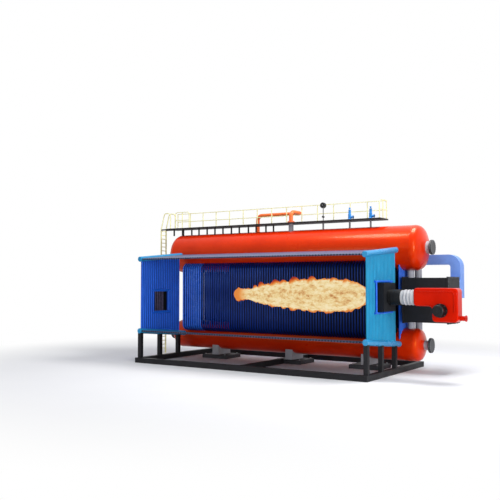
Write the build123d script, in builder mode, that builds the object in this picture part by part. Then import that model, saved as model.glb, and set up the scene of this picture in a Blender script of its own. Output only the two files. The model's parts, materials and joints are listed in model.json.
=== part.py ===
"""Double-drum water-tube boiler, its furnace open on one side to show the tube walls.

X runs along the drums towards the burner, Y from the open side to the drums, Z up.
The origin is on the ground, in the middle of the base frame.
"""
import os
from math import asin, cos, degrees, radians, sin, sqrt, tan

from build123d import *

os.makedirs("parts", exist_ok=True)

# Clearance where one piece is seated on the curved face of another
seat = 0.3

# Base frame of square beams
base_length = 9140.0
base_width = 4670.0
beam_height = 180.0
beam_width = 180.0

# The two drums, one above the other
drum_y = 890.0
drum_half_length = 4890.0
upper_drum_z = 4050.0
upper_drum_radius = 750.0
lower_drum_z = 870.0
lower_drum_radius = 535.0
drum_wall = 25.0
crown_ratio = 1.8
knuckle_ratio = 0.346

# Manholes at the four drum ends
upper_neck_radius = 205.0
lower_neck_radius = 153.0
upper_neck_length = 120.0
lower_neck_length = 160.0
hub_radius = 214.0
hub_length = 60.0
flange_radius = 242.0
flange_thickness = 30.0
cover_thickness = 30.0
gasket_groove = 10.0
gasket_depth = 20.0

# Saddles that carry the lower drum
saddle_places = (-3040.0, 230.0, 3200.0)
saddle_width = 290.0
saddle_reach = 390.0
pad_length = 1100.0
pad_width = 1000.0
pad_height = 140.0
pad_chamfer = 20.0

# Tubes and fins of all tube walls
tube_radius = 30.0
tube_pitch = 105.0
fin_thickness = 8.0

# Furnace end walls between sloping headers
wall_x = 4470.0
furnace_near_y = -2234.0
upper_header_near_z = 3750.0
lower_header_near_z = 1143.0
header_slope = 5.0
header_radius = 95.0
header_chamfer = 14.0
wall_tube_count = 21
wall_first_tube_y = -2100.0
wall_edge_fin = 50.0

# Posts under the lower headers
post_width = 140.0
post_places = (-2150.0, -1090.0, -20.0)

# Roof and floor panels and the two walls of the tube bank
panel_tube_count = 83
bank_wall_offset = 790.0
bank_wall_inset = 250.0
upper_entry_angle = 35.0
lower_entry_angle = 20.0
gas_passage_start = 9
gas_passage_tubes = 12
bank_wall_end_fin = 40.0

# Tube bank between the drums
bank_row_offsets = (-345.0, -115.0, 115.0, 345.0)
bank_tube_count = 42
bank_tube_pitch = 210.0
bank_end_tube_count = 10

# Downcomers at the burner end, each at a place along the drums and an offset from their axis
downcomer_places = ((4690.0, 0.0), (4800.0, 390.0))
downcomer_radius = 115.0

# Flue gas box, its neck and the duct behind the drums
flue_box_start_x = 4600.0
flue_box_length = 1520.0
flue_box_width = 1080.0
flue_box_bottom = 1630.0
flue_box_height = 1430.0
flue_box_rim = 30.0
flue_box_rim_thickness = 50.0
flue_neck_length = 390.0
flue_neck_height = 590.0
flue_neck_overhang = 20.0
duct_leg_inset = 80.0
duct_depth = 400.0
duct_height = 335.0
duct_bottom = 3505.0
duct_inner_bend = 80.0
duct_end_x = -4570.0
duct_leg_bottom = 2390.0
duct_wall = 12.0
duct_flange = 60.0
duct_flange_thickness = 20.0
bracket_places = (-3600.0, 0.0, 3600.0)
bracket_width = 120.0
bracket_thickness = 16.0
bracket_drop = 260.0

# Burner and its port on the front wall
burner_y = -980.0
burner_z = 2460.0
port_box_width = 900.0
port_box_height = 880.0
port_box_depth = 230.0
port_opening = 660.0
throat_front_radius = 200.0
throat_back_radius = 310.0
port_frame_radius = 33.0
port_frame_length = 1330.0
port_frame_height = 960.0
port_frame_width = 1120.0
sleeve_radius = 235.0
sleeve_length = 406.0
sleeve_rib = 12.0
sleeve_rib_count = 4
blast_tube_radius = 218.0
blast_tube_length = 424.0
blast_tube_band = 10.0
blast_tube_band_width = 36.0
housing_depth = 440.0
housing_length = 1340.0
housing_top = 290.0
housing_neck_bottom = 250.0
housing_bottom = 710.0
fan_start = 570.0
housing_corner = 110.0
housing_edge = 45.0
motor_place = 837.0
motor_drop = 370.0
motor_radius = 170.0
motor_flange_radius = 205.0
motor_flange_thickness = 60.0
motor_length = 230.0
motor_chamfer = 22.0
gas_inlet_radius = 72.0
gas_inlet_length = 190.0
gas_inlet_drop = 590.0
gas_flange_radius = 92.0
gas_flange_thickness = 28.0
gas_bore_radius = 50.0
gas_bore_depth = 120.0
foot_length = 150.0
foot_height = 34.0
foot_width = 70.0
rib_width = 24.0
rib_height = 14.0
rib_inset = 85.0
rib_run = 520.0
rib_fall = 280.0
rib_corner = 120.0

# Port in the rear wall
rear_port_y = -1060.0
rear_port_z = 2200.0
rear_port_width = 720.0
rear_port_height = 720.0
rear_box_depth = 230.0
rear_box_wall = 60.0
rear_bar_count = 6
rear_bar_radius = 18.0
rear_frame_length = 1000.0
rear_frame_height = 830.0

# Catwalk over the upper drum
deck_start_x = -5550.0
deck_end_x = 3770.0
deck_width = 680.0
deck_top = 5080.0
deck_thickness = 50.0
leg_width = 45.0
leg_first_x = -4740.0
leg_pitch = 785.0
leg_count = 6
leg_offset = 265.0
hanging_leg_x = -5225.0
hanging_leg_length = 260.0

# Guard rail along the far edge of the catwalk
rail_height = 640.0
rail_middle = 320.0
rail_bar = 26.0
rail_post_pitch = 655.0
rail_inset = 30.0
end_rail_corner = 90.0
side_gate_start = 430.0
side_gate_length = 700.0

# Ladder up to the catwalk
ladder_x = -6000.0
ladder_y = 875.0
ladder_width = 300.0
stile_width = 42.0
rung_radius = 14.0
rung_pitch = 160.0
rung_first = 200.0
rung_count = 31
hand_rail_lean = 170.0
hand_rail_radius = 21.0
hand_rail_bend = 130.0
hand_rail_inset = 40.0

# Steam pipe and the fittings on the upper drum
steam_radius = 73.0
steam_bend = 180.0
steam_far_x = -1710.0
steam_far_y = 1450.0
steam_near_x = 220.0
steam_near_y = 700.0
steam_flange_radius = 130.0
steam_flange_thickness = 40.0
stop_valve_radius = 90.0
deck_hole_clearance = 15.0
valve_places = (2480.0, 3270.0)
valve_stem_radius = 32.0
valve_foot_radius = 80.0
valve_foot_thickness = 26.0
valve_body_radius = 56.0
valve_bonnet_radius = 46.0
valve_cap_radius = 30.0
valve_height = 430.0
valve_outlet_radius = 42.0
valve_outlet_reach = 120.0
valve_outlet_rim = 18.0
valve_outlet_height = 95.0
gauge_x = 1440.0
gauge_radius = 104.0
gauge_depth = 90.0
gauge_z = 5650.0
gauge_pipe_radius = 14.0
gauge_cock_radius = 34.0
gauge_cock_length = 90.0
gauge_cock_z = 5240.0

# Values worked out from the sizes above
slope_sin = sin(radians(header_slope))
slope_cos = cos(radians(header_slope))
slope_tan = tan(radians(header_slope))
panel_half_span = wall_x - header_radius - seat
wall_outer_x = wall_x + tube_radius
steam_z = deck_top + rail_middle + steam_radius + seat


def save(builder, name):
    """Label a finished piece and write its STEP file."""
    builder.part.label = name
    export_step(builder.part, f"parts/{name}.step")


def drum_cylinder(z, radius):
    """Cut away a cylinder along a drum's axis, longer than the drum."""
    with Locations(Location((0, drum_y, z), (0, 90, 0))):
        Cylinder(radius, 3 * drum_half_length, mode=Mode.SUBTRACT)


def cut_drums():
    """Cut the running piece back to a seat on both drums."""
    drum_cylinder(upper_drum_z, upper_drum_radius + seat)
    drum_cylinder(lower_drum_z, lower_drum_radius + seat)


def upper_header_z(y):
    """Height of an upper header's axis at a place along it."""
    return upper_header_near_z + slope_tan * (y - furnace_near_y)


def lower_header_z(y):
    """Height of a lower header's axis at a place along it."""
    return lower_header_near_z - slope_tan * (y - furnace_near_y)


def faceted_tube_row(count, end_reach, centre=0.0):
    """Section of a long row of tubes joined by fins, each half tube with three flats."""
    half_fin = fin_thickness / 2
    flat = tube_radius * cos(radians(60))
    crown = tube_radius * sin(radians(60))
    half_span = (count - 1) / 2 * tube_pitch + end_reach
    upper = [(centre - half_span, half_fin)]
    for index in range(count):
        x = centre + (index - (count - 1) / 2) * tube_pitch
        upper += [(x - tube_radius, half_fin), (x - flat, crown)]
        upper += [(x + flat, crown), (x + tube_radius, half_fin)]
    upper.append((centre + half_span, half_fin))
    lower = [(x, -y) for x, y in reversed(upper)]
    with BuildSketch() as row:
        with BuildLine():
            Polyline(*upper, *lower, close=True)
        make_face()
    return row.sketch


def round_tube_row(count, edge_fin):
    """Section of a row of round tubes joined by fins, from the first tube's axis."""
    half_fin = fin_thickness / 2
    reach = sqrt(tube_radius ** 2 - half_fin ** 2)
    last = (count - 1) * tube_pitch
    with BuildSketch() as row:
        with BuildLine():
            for side in (1, -1):
                previous = -edge_fin
                for index in range(count):
                    x = index * tube_pitch
                    Line((previous, side * half_fin), (x - reach, side * half_fin))
                    ThreePointArc(
                        (x - reach, side * half_fin), (x, side * tube_radius), (x + reach, side * half_fin)
                    )
                    previous = x + reach
                Line((previous, side * half_fin), (last + edge_fin, side * half_fin))
            for x in (-edge_fin, last + edge_fin):
                Line((x, -half_fin), (x, half_fin))
        make_face()
    return row.sketch


# Base frame: two long beams with three cross beams between them
with BuildPart() as base_side_beams:
    for side in (-1, 1):
        with Locations((0, side * (base_width - beam_width) / 2, beam_height / 2)):
            Box(base_length, beam_width, beam_height)
save(base_side_beams, "base_side_beams")

with BuildPart() as base_cross_beams:
    for place in (-1, 0, 1):
        with Locations((place * (base_length - beam_width) / 2, 0, beam_height / 2)):
            Box(beam_width, base_width - 2 * beam_width, beam_height)
    for x in saddle_places:
        with Locations((x, drum_y, beam_height / 2)):
            Box(pad_length, pad_width, 2 * beam_height, mode=Mode.SUBTRACT)
save(base_cross_beams, "base_cross_beams")

# Posts under the lower headers, cut to the round of the header that they carry
for end_name, end in (("front", 1), ("rear", -1)):
    with BuildPart() as wall_posts:
        for y in post_places:
            height = lower_header_z(y) - beam_height
            with Locations((end * wall_x, y, beam_height + height / 2)):
                Box(post_width, post_width, height)
        with Locations(Location((end * wall_x, 0, lower_header_z(0)), (90 - header_slope, 0, 0))):
            Cylinder(header_radius + seat, 2 * base_width, mode=Mode.SUBTRACT)
    save(wall_posts, f"{end_name}_wall_posts")

# Saddles of the lower drum on their pads
with BuildPart() as saddle_pads:
    for x in saddle_places:
        with Locations((x, drum_y, pad_height / 2)):
            Box(pad_length, pad_width, pad_height)
    chamfer(saddle_pads.edges().group_by(Axis.Z)[-1], pad_chamfer)
save(saddle_pads, "saddle_pads")

with BuildPart() as drum_saddles:
    saddle_height = lower_drum_z - pad_height
    for x in saddle_places:
        with Locations((x, drum_y, pad_height + saddle_height / 2)):
            Box(saddle_width, 2 * saddle_reach, saddle_height)
    drum_cylinder(lower_drum_z, lower_drum_radius + seat)
save(drum_saddles, "drum_saddles")

# Drum shells, dished heads and manholes
for drum_name, drum_z, drum_radius, neck_radius, neck_length in (
    ("upper", upper_drum_z, upper_drum_radius, upper_neck_radius, upper_neck_length),
    ("lower", lower_drum_z, lower_drum_radius, lower_neck_radius, lower_neck_length),
):
    axis_start = Plane((-drum_half_length, drum_y, drum_z), x_dir=(0, 1, 0), z_dir=(1, 0, 0))
    with BuildPart() as drum_shell:
        with BuildSketch(axis_start):
            Circle(drum_radius)
            Circle(drum_radius - drum_wall, mode=Mode.SUBTRACT)
        extrude(amount=2 * drum_half_length)
    save(drum_shell, f"{drum_name}_drum_shell")

    crown = crown_ratio * drum_radius
    knuckle = knuckle_ratio * drum_radius
    knuckle_centre = (0, drum_radius - knuckle)
    turn = degrees(asin((drum_radius - knuckle) / (crown - knuckle)))
    crown_centre = (-(crown - knuckle) * cos(radians(turn)), 0)
    apex = crown_centre[0] + crown
    seat_crown = crown + seat
    seat_turn = degrees(asin(neck_radius / seat_crown))
    neck_start = crown_centre[0] + seat_crown * cos(radians(seat_turn))
    groove_radius = flange_radius - gasket_depth
    flange_start = apex + neck_length
    groove_start = flange_start + flange_thickness
    cover_start = groove_start + gasket_groove
    cover_end = cover_start + cover_thickness
    for end_name, end in (("front", 1), ("rear", -1)):
        profile = Plane((end * drum_half_length, drum_y, drum_z), x_dir=(end, 0, 0), z_dir=(0, -end, 0))
        drum_axis = Axis((0, drum_y, drum_z), (end, 0, 0))
        with BuildPart() as drum_head:
            with BuildSketch(profile):
                with BuildLine():
                    CenterArc(knuckle_centre, knuckle, 90, turn - 90)
                    CenterArc(crown_centre, crown, turn, -turn)
                    Line((apex, 0), (apex - drum_wall, 0))
                    CenterArc(crown_centre, crown - drum_wall, 0, turn)
                    CenterArc(knuckle_centre, knuckle - drum_wall, turn, 90 - turn)
                    Line((0, drum_radius - drum_wall), (0, drum_radius))
                make_face()
            revolve(axis=drum_axis)
        save(drum_head, f"{drum_name}_drum_{end_name}_head")

        with BuildPart() as manhole:
            with BuildSketch(profile):
                with BuildLine():
                    CenterArc(crown_centre, seat_crown, 0, seat_turn)
                    Polyline(
                        (neck_start, neck_radius),
                        (flange_start - hub_length, neck_radius),
                        (flange_start, hub_radius),
                        (flange_start, flange_radius),
                        (groove_start, flange_radius),
                        (groove_start, groove_radius),
                        (cover_start, groove_radius),
                        (cover_start, flange_radius),
                        (cover_end, flange_radius),
                        (cover_end, 0),
                        (crown_centre[0] + seat_crown, 0),
                    )
                make_face()
            revolve(axis=drum_axis)
        save(manhole, f"{drum_name}_{end_name}_manhole")

# Sloping headers of the end walls, let in to the sides of the drums
for level, near_z, rise in (("upper", upper_header_near_z, 1), ("lower", lower_header_near_z, -1)):
    for end_name, end in (("front", 1), ("rear", -1)):
        direction = (0, slope_cos, rise * slope_sin)
        near_end = Plane((end * wall_x, furnace_near_y, near_z), x_dir=(1, 0, 0), z_dir=direction)
        with BuildPart() as header:
            with BuildSketch(near_end):
                Circle(header_radius)
            extrude(amount=drum_y - furnace_near_y)
            chamfer(header.faces().sort_by(Axis.Y)[0].edges(), header_chamfer)
            cut_drums()
        save(header, f"{end_name}_{level}_header")

# End walls: round tubes joined by fins, between the headers, with a port in each
wall_section = round_tube_row(wall_tube_count, wall_edge_fin)
for end_name, end, port_y, port_z, port_width, port_height in (
    ("front", 1, burner_y, burner_z, port_opening, port_opening),
    ("rear", -1, rear_port_y, rear_port_z, rear_port_width, rear_port_height),
):
    x = end * wall_x
    wall_foot = Plane((x, wall_first_tube_y, lower_header_z(drum_y)), x_dir=(0, 1, 0), z_dir=(0, 0, 1))
    upper_cut = Plane((x, 0, upper_header_z(0)), x_dir=(1, 0, 0), z_dir=(0, -slope_sin, slope_cos))
    lower_cut = Plane((x, 0, lower_header_z(0)), x_dir=(1, 0, 0), z_dir=(0, slope_sin, slope_cos))
    with BuildPart() as end_wall:
        with BuildSketch(wall_foot):
            add(wall_section)
        extrude(amount=upper_header_z(drum_y) - lower_header_z(drum_y))
        split(bisect_by=upper_cut, keep=Keep.BOTTOM)
        split(bisect_by=lower_cut, keep=Keep.TOP)
        for axis_z, tilt in ((upper_header_z(0), header_slope), (lower_header_z(0), -header_slope)):
            with Locations(Location((x, 0, axis_z), (90 + tilt, 0, 0))):
                Cylinder(header_radius + seat, 2 * base_width, mode=Mode.SUBTRACT)
        with Locations((x, port_y, port_z)):
            Box(4 * tube_radius, port_width, port_height, mode=Mode.SUBTRACT)
    save(end_wall, f"{end_name}_wall")

# Roof and floor of the furnace, whose tubes slope to the sides of the drums
panel_end_reach = panel_half_span - (panel_tube_count - 1) / 2 * tube_pitch
panel_section = faceted_tube_row(panel_tube_count, panel_end_reach)
for panel_name, near_z, rise in (
    ("roof_panel", upper_header_near_z, 1),
    ("floor_panel", lower_header_near_z, -1),
):
    direction = (0, slope_cos, rise * slope_sin)
    near_end = Plane((0, furnace_near_y, near_z), x_dir=(1, 0, 0), z_dir=direction)
    with BuildPart() as panel:
        with BuildSketch(near_end):
            add(panel_section)
        extrude(amount=drum_y - furnace_near_y)
        cut_drums()
    save(panel, panel_name)

# Walls of bent tubes on both sides of the bank: upright, then turned in to the drums.
# The partition has bare tubes where the gas passes from the furnace to the bank.
upper_knee_z = upper_drum_z - tan(radians(upper_entry_angle)) * bank_wall_offset
lower_knee_z = lower_drum_z + tan(radians(lower_entry_angle)) * bank_wall_offset
upper_inside_z = upper_drum_z - tan(radians(upper_entry_angle)) * bank_wall_inset
lower_inside_z = lower_drum_z + tan(radians(lower_entry_angle)) * bank_wall_inset
panel_middle = (panel_tube_count - 1) / 2
passage_end = gas_passage_start + gas_passage_tubes
for wall_name, side, finned_rows, bare_tubes in (
    ("partition_wall", -1, ((0, gas_passage_start), (passage_end, panel_tube_count)), gas_passage_tubes),
    ("outer_wall", 1, ((0, panel_tube_count),), 0),
):
    route = [
        (0, drum_y + side * bank_wall_inset, lower_inside_z),
        (0, drum_y + side * bank_wall_offset, lower_knee_z),
        (0, drum_y + side * bank_wall_offset, upper_knee_z),
        (0, drum_y + side * bank_wall_inset, upper_inside_z),
    ]
    with BuildPart() as bank_wall:
        with BuildLine() as bent_tube:
            Polyline(*route)
        with BuildSketch(Plane(route[0], x_dir=(1, 0, 0), z_dir=Vector(*route[1]) - Vector(*route[0]))):
            for first, stop in finned_rows:
                row_centre = ((first + stop - 1) / 2 - panel_middle) * tube_pitch
                add(faceted_tube_row(stop - first, bank_wall_end_fin, row_centre))
            for index in range(bare_tubes):
                with Locations(((gas_passage_start + index - panel_middle) * tube_pitch, 0)):
                    RegularPolygon(tube_radius, 6)
        sweep(path=bent_tube.line, transition=Transition.RIGHT)
        cut_drums()
    save(bank_wall, wall_name)

# Straight rows of the tube bank between the drums
for row_number, row_offset in enumerate(bank_row_offsets, start=1):
    with BuildPart() as bank_row:
        with BuildSketch(Plane((0, drum_y + row_offset, lower_drum_z))):
            with GridLocations(bank_tube_pitch, 0, bank_tube_count, 1):
                RegularPolygon(tube_radius, 6)
        extrude(amount=upper_drum_z - lower_drum_z)
        cut_drums()
    save(bank_row, f"bank_row_{row_number}")

# Tubes across the ends of the bank: bare where the gas leaves for the flue box, finned at the rear
with BuildPart() as bank_end_tubes:
    end_tube_first_y = drum_y - (bank_end_tube_count - 1) / 2 * tube_pitch
    with BuildSketch(Plane((wall_x, drum_y, lower_drum_z))):
        with GridLocations(0, tube_pitch, 1, bank_end_tube_count):
            Circle(tube_radius)
    with BuildSketch(Plane((-wall_x, end_tube_first_y, lower_drum_z), x_dir=(0, 1, 0), z_dir=(0, 0, 1))):
        add(round_tube_row(bank_end_tube_count, bank_wall_end_fin))
    extrude(amount=upper_drum_z - lower_drum_z)
    cut_drums()
save(bank_end_tubes, "bank_end_tubes")

# Downcomers from the upper to the lower drum
with BuildPart() as downcomers:
    with BuildSketch(Plane((0, drum_y, lower_drum_z))):
        with Locations(*downcomer_places):
            Circle(downcomer_radius)
    extrude(amount=upper_drum_z - lower_drum_z)
    cut_drums()
save(downcomers, "downcomers")

# Flue gas box at the end of the bank, with rims at both ends and room for the downcomers
flue_box_end_x = flue_box_start_x + flue_box_length
flue_box_z = flue_box_bottom + flue_box_height / 2
with BuildPart() as flue_box:
    with Locations((flue_box_start_x + flue_box_length / 2, drum_y, flue_box_z)):
        Box(flue_box_length, flue_box_width, flue_box_height)
    for rim_x in (flue_box_start_x, flue_box_end_x - flue_box_rim_thickness):
        with Locations((rim_x + flue_box_rim_thickness / 2, drum_y, flue_box_z)):
            Box(flue_box_rim_thickness, flue_box_width + 2 * flue_box_rim, flue_box_height + 2 * flue_box_rim)
    for x, offset_y in downcomer_places:
        with Locations((x, drum_y + offset_y, flue_box_z)):
            Cylinder(downcomer_radius + seat, 2 * flue_box_height, mode=Mode.SUBTRACT)
save(flue_box, "flue_box")

# Flue duct: a neck from the box, a leg, a bend and a long run behind the drums
duct_near_y = drum_y + flue_box_width / 2 + flue_neck_length
duct_leg_front_x = flue_box_end_x - duct_leg_inset
duct_leg_back_x = duct_leg_front_x - duct_height
duct_bend_x = duct_leg_back_x - duct_inner_bend
duct_top = duct_bottom + duct_height
duct_outer_bend = duct_inner_bend + duct_height
with BuildPart() as flue_neck:
    with Locations((
        duct_leg_front_x - duct_height / 2,
        duct_near_y - flue_neck_length / 2,
        duct_leg_bottom + flue_neck_height / 2,
    )):
        Box(duct_height + 2 * flue_neck_overhang, flue_neck_length, flue_neck_height)
save(flue_neck, "flue_neck")

with BuildPart() as flue_duct_bend:
    with BuildSketch(Plane((0, duct_near_y, 0), x_dir=(1, 0, 0), z_dir=(0, -1, 0))):
        with BuildLine():
            Line((duct_bend_x, duct_bottom), (duct_bend_x, duct_top))
            CenterArc((duct_bend_x, duct_bottom - duct_inner_bend), duct_outer_bend, 90, -90)
            Polyline(
                (duct_leg_front_x, duct_bottom - duct_inner_bend),
                (duct_leg_front_x, duct_leg_bottom),
                (duct_leg_back_x, duct_leg_bottom),
                (duct_leg_back_x, duct_bottom - duct_inner_bend),
            )
            CenterArc((duct_bend_x, duct_bottom - duct_inner_bend), duct_inner_bend, 0, 90)
        make_face()
    extrude(amount=-duct_depth)
save(flue_duct_bend, "flue_duct_bend")

with BuildPart() as flue_duct_run:
    duct_centre = (duct_near_y + duct_depth / 2, duct_bottom + duct_height / 2)
    with BuildSketch(Plane((duct_end_x, *duct_centre), x_dir=(0, 1, 0), z_dir=(1, 0, 0))):
        Rectangle(duct_depth, duct_height)
    extrude(amount=duct_bend_x - duct_end_x)
    with BuildSketch(Plane((duct_end_x, *duct_centre), x_dir=(0, 1, 0), z_dir=(1, 0, 0))):
        Rectangle(duct_depth + 2 * duct_flange, duct_height + 2 * duct_flange)
    extrude(amount=duct_flange_thickness)
    with BuildSketch(Plane((duct_end_x, *duct_centre), x_dir=(0, 1, 0), z_dir=(1, 0, 0))):
        Rectangle(duct_depth - 2 * duct_wall, duct_height - 2 * duct_wall)
    extrude(amount=duct_bend_x - duct_end_x, mode=Mode.SUBTRACT)
save(flue_duct_run, "flue_duct_run")

# Brackets that carry the duct on the outer wall's tubes
outer_crown_y = drum_y + bank_wall_offset + tube_radius * sin(radians(60))
with BuildPart() as duct_brackets:
    for x in bracket_places:
        with BuildSketch(Plane((x - bracket_width / 2, 0, 0), x_dir=(0, 1, 0), z_dir=(1, 0, 0))):
            with BuildLine():
                Polyline(
                    (outer_crown_y + seat, duct_bottom),
                    (duct_near_y + duct_depth, duct_bottom),
                    (duct_near_y + duct_depth, duct_bottom - bracket_thickness),
                    (outer_crown_y + seat + bracket_thickness, duct_bottom - bracket_drop),
                    (outer_crown_y + seat, duct_bottom - bracket_drop),
                    close=True,
                )
            make_face()
        extrude(amount=bracket_width)
save(duct_brackets, "duct_brackets")

# Burner port on the front wall: a box with a conical throat, inside a frame of pipe
port_box_x = wall_outer_x + seat
sleeve_start_x = port_box_x + port_box_depth
blast_tube_start_x = sleeve_start_x + sleeve_length
housing_start_x = blast_tube_start_x + blast_tube_length
with BuildPart() as burner_port_box:
    with Locations((port_box_x + port_box_depth / 2, burner_y, burner_z)):
        Box(port_box_depth, port_box_width, port_box_height)
    with BuildSketch(Plane((port_box_x, burner_y, burner_z), x_dir=(0, 1, 0), z_dir=(1, 0, 0))):
        Circle(throat_back_radius)
    with BuildSketch(Plane((sleeve_start_x, burner_y, burner_z), x_dir=(0, 1, 0), z_dir=(1, 0, 0))):
        Circle(throat_front_radius)
    loft(mode=Mode.SUBTRACT)
save(burner_port_box, "burner_port_box")

with BuildPart() as burner_port_frame:
    frame_x = wall_outer_x + seat + port_frame_radius
    for side in (-1, 1):
        with Locations(Location((frame_x, burner_y, burner_z + side * port_frame_height / 2), (90, 0, 0))):
            Cylinder(port_frame_radius, port_frame_length)
        with Locations((frame_x, burner_y + side * port_frame_width / 2, burner_z)):
            Cylinder(tube_radius, port_frame_height)
save(burner_port_frame, "burner_port_frame")

# Burner: ribbed sleeve, blast tube, cast housing, fan motor, gas inlet and feet
sleeve_plane = Plane((sleeve_start_x, burner_y, burner_z), x_dir=(1, 0, 0), z_dir=(0, -1, 0))
burner_axis = Axis((0, burner_y, burner_z), (1, 0, 0))
rib_step = sleeve_length / (2 * sleeve_rib_count)
with BuildPart() as burner_sleeve:
    with BuildSketch(sleeve_plane):
        with Locations((sleeve_length / 2, sleeve_radius / 2)):
            Rectangle(sleeve_length, sleeve_radius)
        for index in range(sleeve_rib_count):
            with Locations(((2 * index + 0.5) * rib_step, sleeve_radius)):
                Rectangle(rib_step, 2 * sleeve_rib)
    revolve(axis=burner_axis)
save(burner_sleeve, "burner_sleeve")

with BuildPart() as blast_tube:
    with BuildSketch(sleeve_plane):
        with Locations((sleeve_length + blast_tube_length / 2, blast_tube_radius / 2)):
            Rectangle(blast_tube_length, blast_tube_radius)
        for place in (0.5, 0.93):
            with Locations((sleeve_length + place * blast_tube_length, blast_tube_radius)):
                Rectangle(blast_tube_band_width, 2 * blast_tube_band)
    revolve(axis=burner_axis)
save(blast_tube, "blast_tube")

housing_near_y = burner_y - housing_depth / 2
housing_plane = Plane((housing_start_x, housing_near_y, burner_z), x_dir=(1, 0, 0), z_dir=(0, -1, 0))
with BuildPart() as burner_housing:
    with BuildSketch(housing_plane):
        with BuildLine():
            FilletPolyline(
                (0, housing_top / 2),
                (0, housing_top),
                (housing_length, housing_top),
                (housing_length, -housing_bottom),
                (fan_start, -housing_bottom),
                (fan_start, -housing_neck_bottom),
                (0, -housing_neck_bottom),
                (0, housing_top / 2 - 1),
                radius=housing_corner,
            )
            Line((0, housing_top / 2 - 1), (0, housing_top / 2))
        make_face()
    extrude(amount=-housing_depth)
    rims = burner_housing.faces().filter_by(Axis.Y)
    fillet(rims.edges(), housing_edge)
    with BuildSketch(housing_plane):
        with BuildLine():
            rib_path = FilletPolyline(
                (housing_length - rib_inset - rib_run, housing_top - rib_inset),
                (housing_length - rib_inset, housing_top - rib_inset),
                (housing_length - rib_inset, housing_top - rib_inset - rib_fall),
                radius=rib_corner,
            )
            offset(rib_path, rib_width / 2, side=Side.BOTH)
        make_face()
    extrude(amount=rib_height)
save(burner_housing, "burner_housing")

motor_spot = Plane(
    (housing_start_x + motor_place, housing_near_y, burner_z - motor_drop), x_dir=(1, 0, 0), z_dir=(0, -1, 0)
)
with BuildPart() as burner_motor:
    with BuildSketch(motor_spot):
        Circle(motor_flange_radius)
    extrude(amount=motor_flange_thickness)
    with BuildSketch(motor_spot.offset(motor_flange_thickness)):
        Circle(motor_radius)
    extrude(amount=motor_length)
    chamfer(burner_motor.faces().sort_by(Axis.Y)[0].edges(), motor_chamfer)
save(burner_motor, "burner_motor")

inlet_spot = Plane(
    (housing_start_x + housing_length, burner_y, burner_z - gas_inlet_drop), x_dir=(0, 1, 0), z_dir=(1, 0, 0)
)
with BuildPart() as gas_inlet:
    with BuildSketch(inlet_spot):
        Circle(gas_inlet_radius)
    extrude(amount=gas_inlet_length)
    with BuildSketch(inlet_spot.offset(gas_inlet_length - gas_flange_thickness)):
        Circle(gas_flange_radius)
    extrude(amount=gas_flange_thickness)
    with BuildSketch(inlet_spot.offset(gas_inlet_length)):
        Circle(gas_bore_radius)
    extrude(amount=-gas_bore_depth, mode=Mode.SUBTRACT)
save(gas_inlet, "gas_inlet")

with BuildPart() as burner_feet:
    foot_x = housing_start_x + housing_length - housing_corner - foot_length / 2
    with Locations((foot_x, burner_y, burner_z - housing_bottom - foot_height / 2)):
        with GridLocations(0, housing_depth / 2, 1, 2):
            Box(foot_length, foot_width, foot_height)
save(burner_feet, "burner_feet")

# Port in the rear wall: a box with upright bars behind the opening and a pipe above and below it
rear_outer_x = -wall_outer_x - seat
with BuildPart() as rear_port_box:
    with Locations((rear_outer_x - rear_box_depth / 2, rear_port_y, rear_port_z)):
        Box(rear_box_depth, rear_port_width + 2 * rear_box_wall, rear_port_height + 2 * rear_box_wall)
    with Locations((rear_outer_x - (rear_box_depth - rear_box_wall) / 2, rear_port_y, rear_port_z)):
        Box(rear_box_depth - rear_box_wall, rear_port_width, rear_port_height, mode=Mode.SUBTRACT)
    with Locations((rear_outer_x - (rear_box_depth - rear_box_wall) / 2, rear_port_y, rear_port_z)):
        with GridLocations(0, rear_port_width / (rear_bar_count + 1), 1, rear_bar_count):
            Cylinder(rear_bar_radius, rear_port_height + rear_box_wall)
save(rear_port_box, "rear_port_box")

with BuildPart() as rear_port_pipes:
    pipe_x = -wall_x + tube_radius + seat + port_frame_radius
    for side in (-1, 1):
        pipe_z = rear_port_z + side * rear_frame_height / 2
        with Locations(Location((pipe_x, rear_port_y, pipe_z), (90, 0, 0))):
            Cylinder(port_frame_radius, rear_frame_length)
save(rear_port_pipes, "rear_port_pipes")

# Catwalk deck over the upper drum, with holes for the fittings that pass through it
deck_bottom = deck_top - deck_thickness
fitting_places = (*valve_places, gauge_x)
with BuildPart() as catwalk_deck:
    with Locations(((deck_start_x + deck_end_x) / 2, drum_y, deck_top - deck_thickness / 2)):
        Box(deck_end_x - deck_start_x, deck_width, deck_thickness)
    with Locations((steam_near_x, steam_near_y, deck_bottom)):
        Cylinder(stop_valve_radius + deck_hole_clearance, 4 * deck_thickness, mode=Mode.SUBTRACT)
    for x in fitting_places:
        with Locations((x, drum_y, deck_bottom)):
            Cylinder(valve_stem_radius + deck_hole_clearance, 4 * deck_thickness, mode=Mode.SUBTRACT)
save(catwalk_deck, "catwalk_deck")

with BuildPart() as catwalk_legs:
    for index in range(leg_count):
        for side in (-1, 1):
            leg_x = leg_first_x + index * leg_pitch
            with BuildSketch(Plane((leg_x, drum_y + side * leg_offset, upper_drum_z))):
                Rectangle(leg_width, leg_width)
            extrude(amount=deck_bottom - upper_drum_z)
    drum_cylinder(upper_drum_z, upper_drum_radius + seat)
    with BuildSketch(Plane((hanging_leg_x, drum_y, deck_bottom))):
        with GridLocations(0, 2 * leg_offset, 1, 2):
            Rectangle(leg_width, leg_width)
    extrude(amount=-hanging_leg_length)
save(catwalk_legs, "catwalk_legs")

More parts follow.
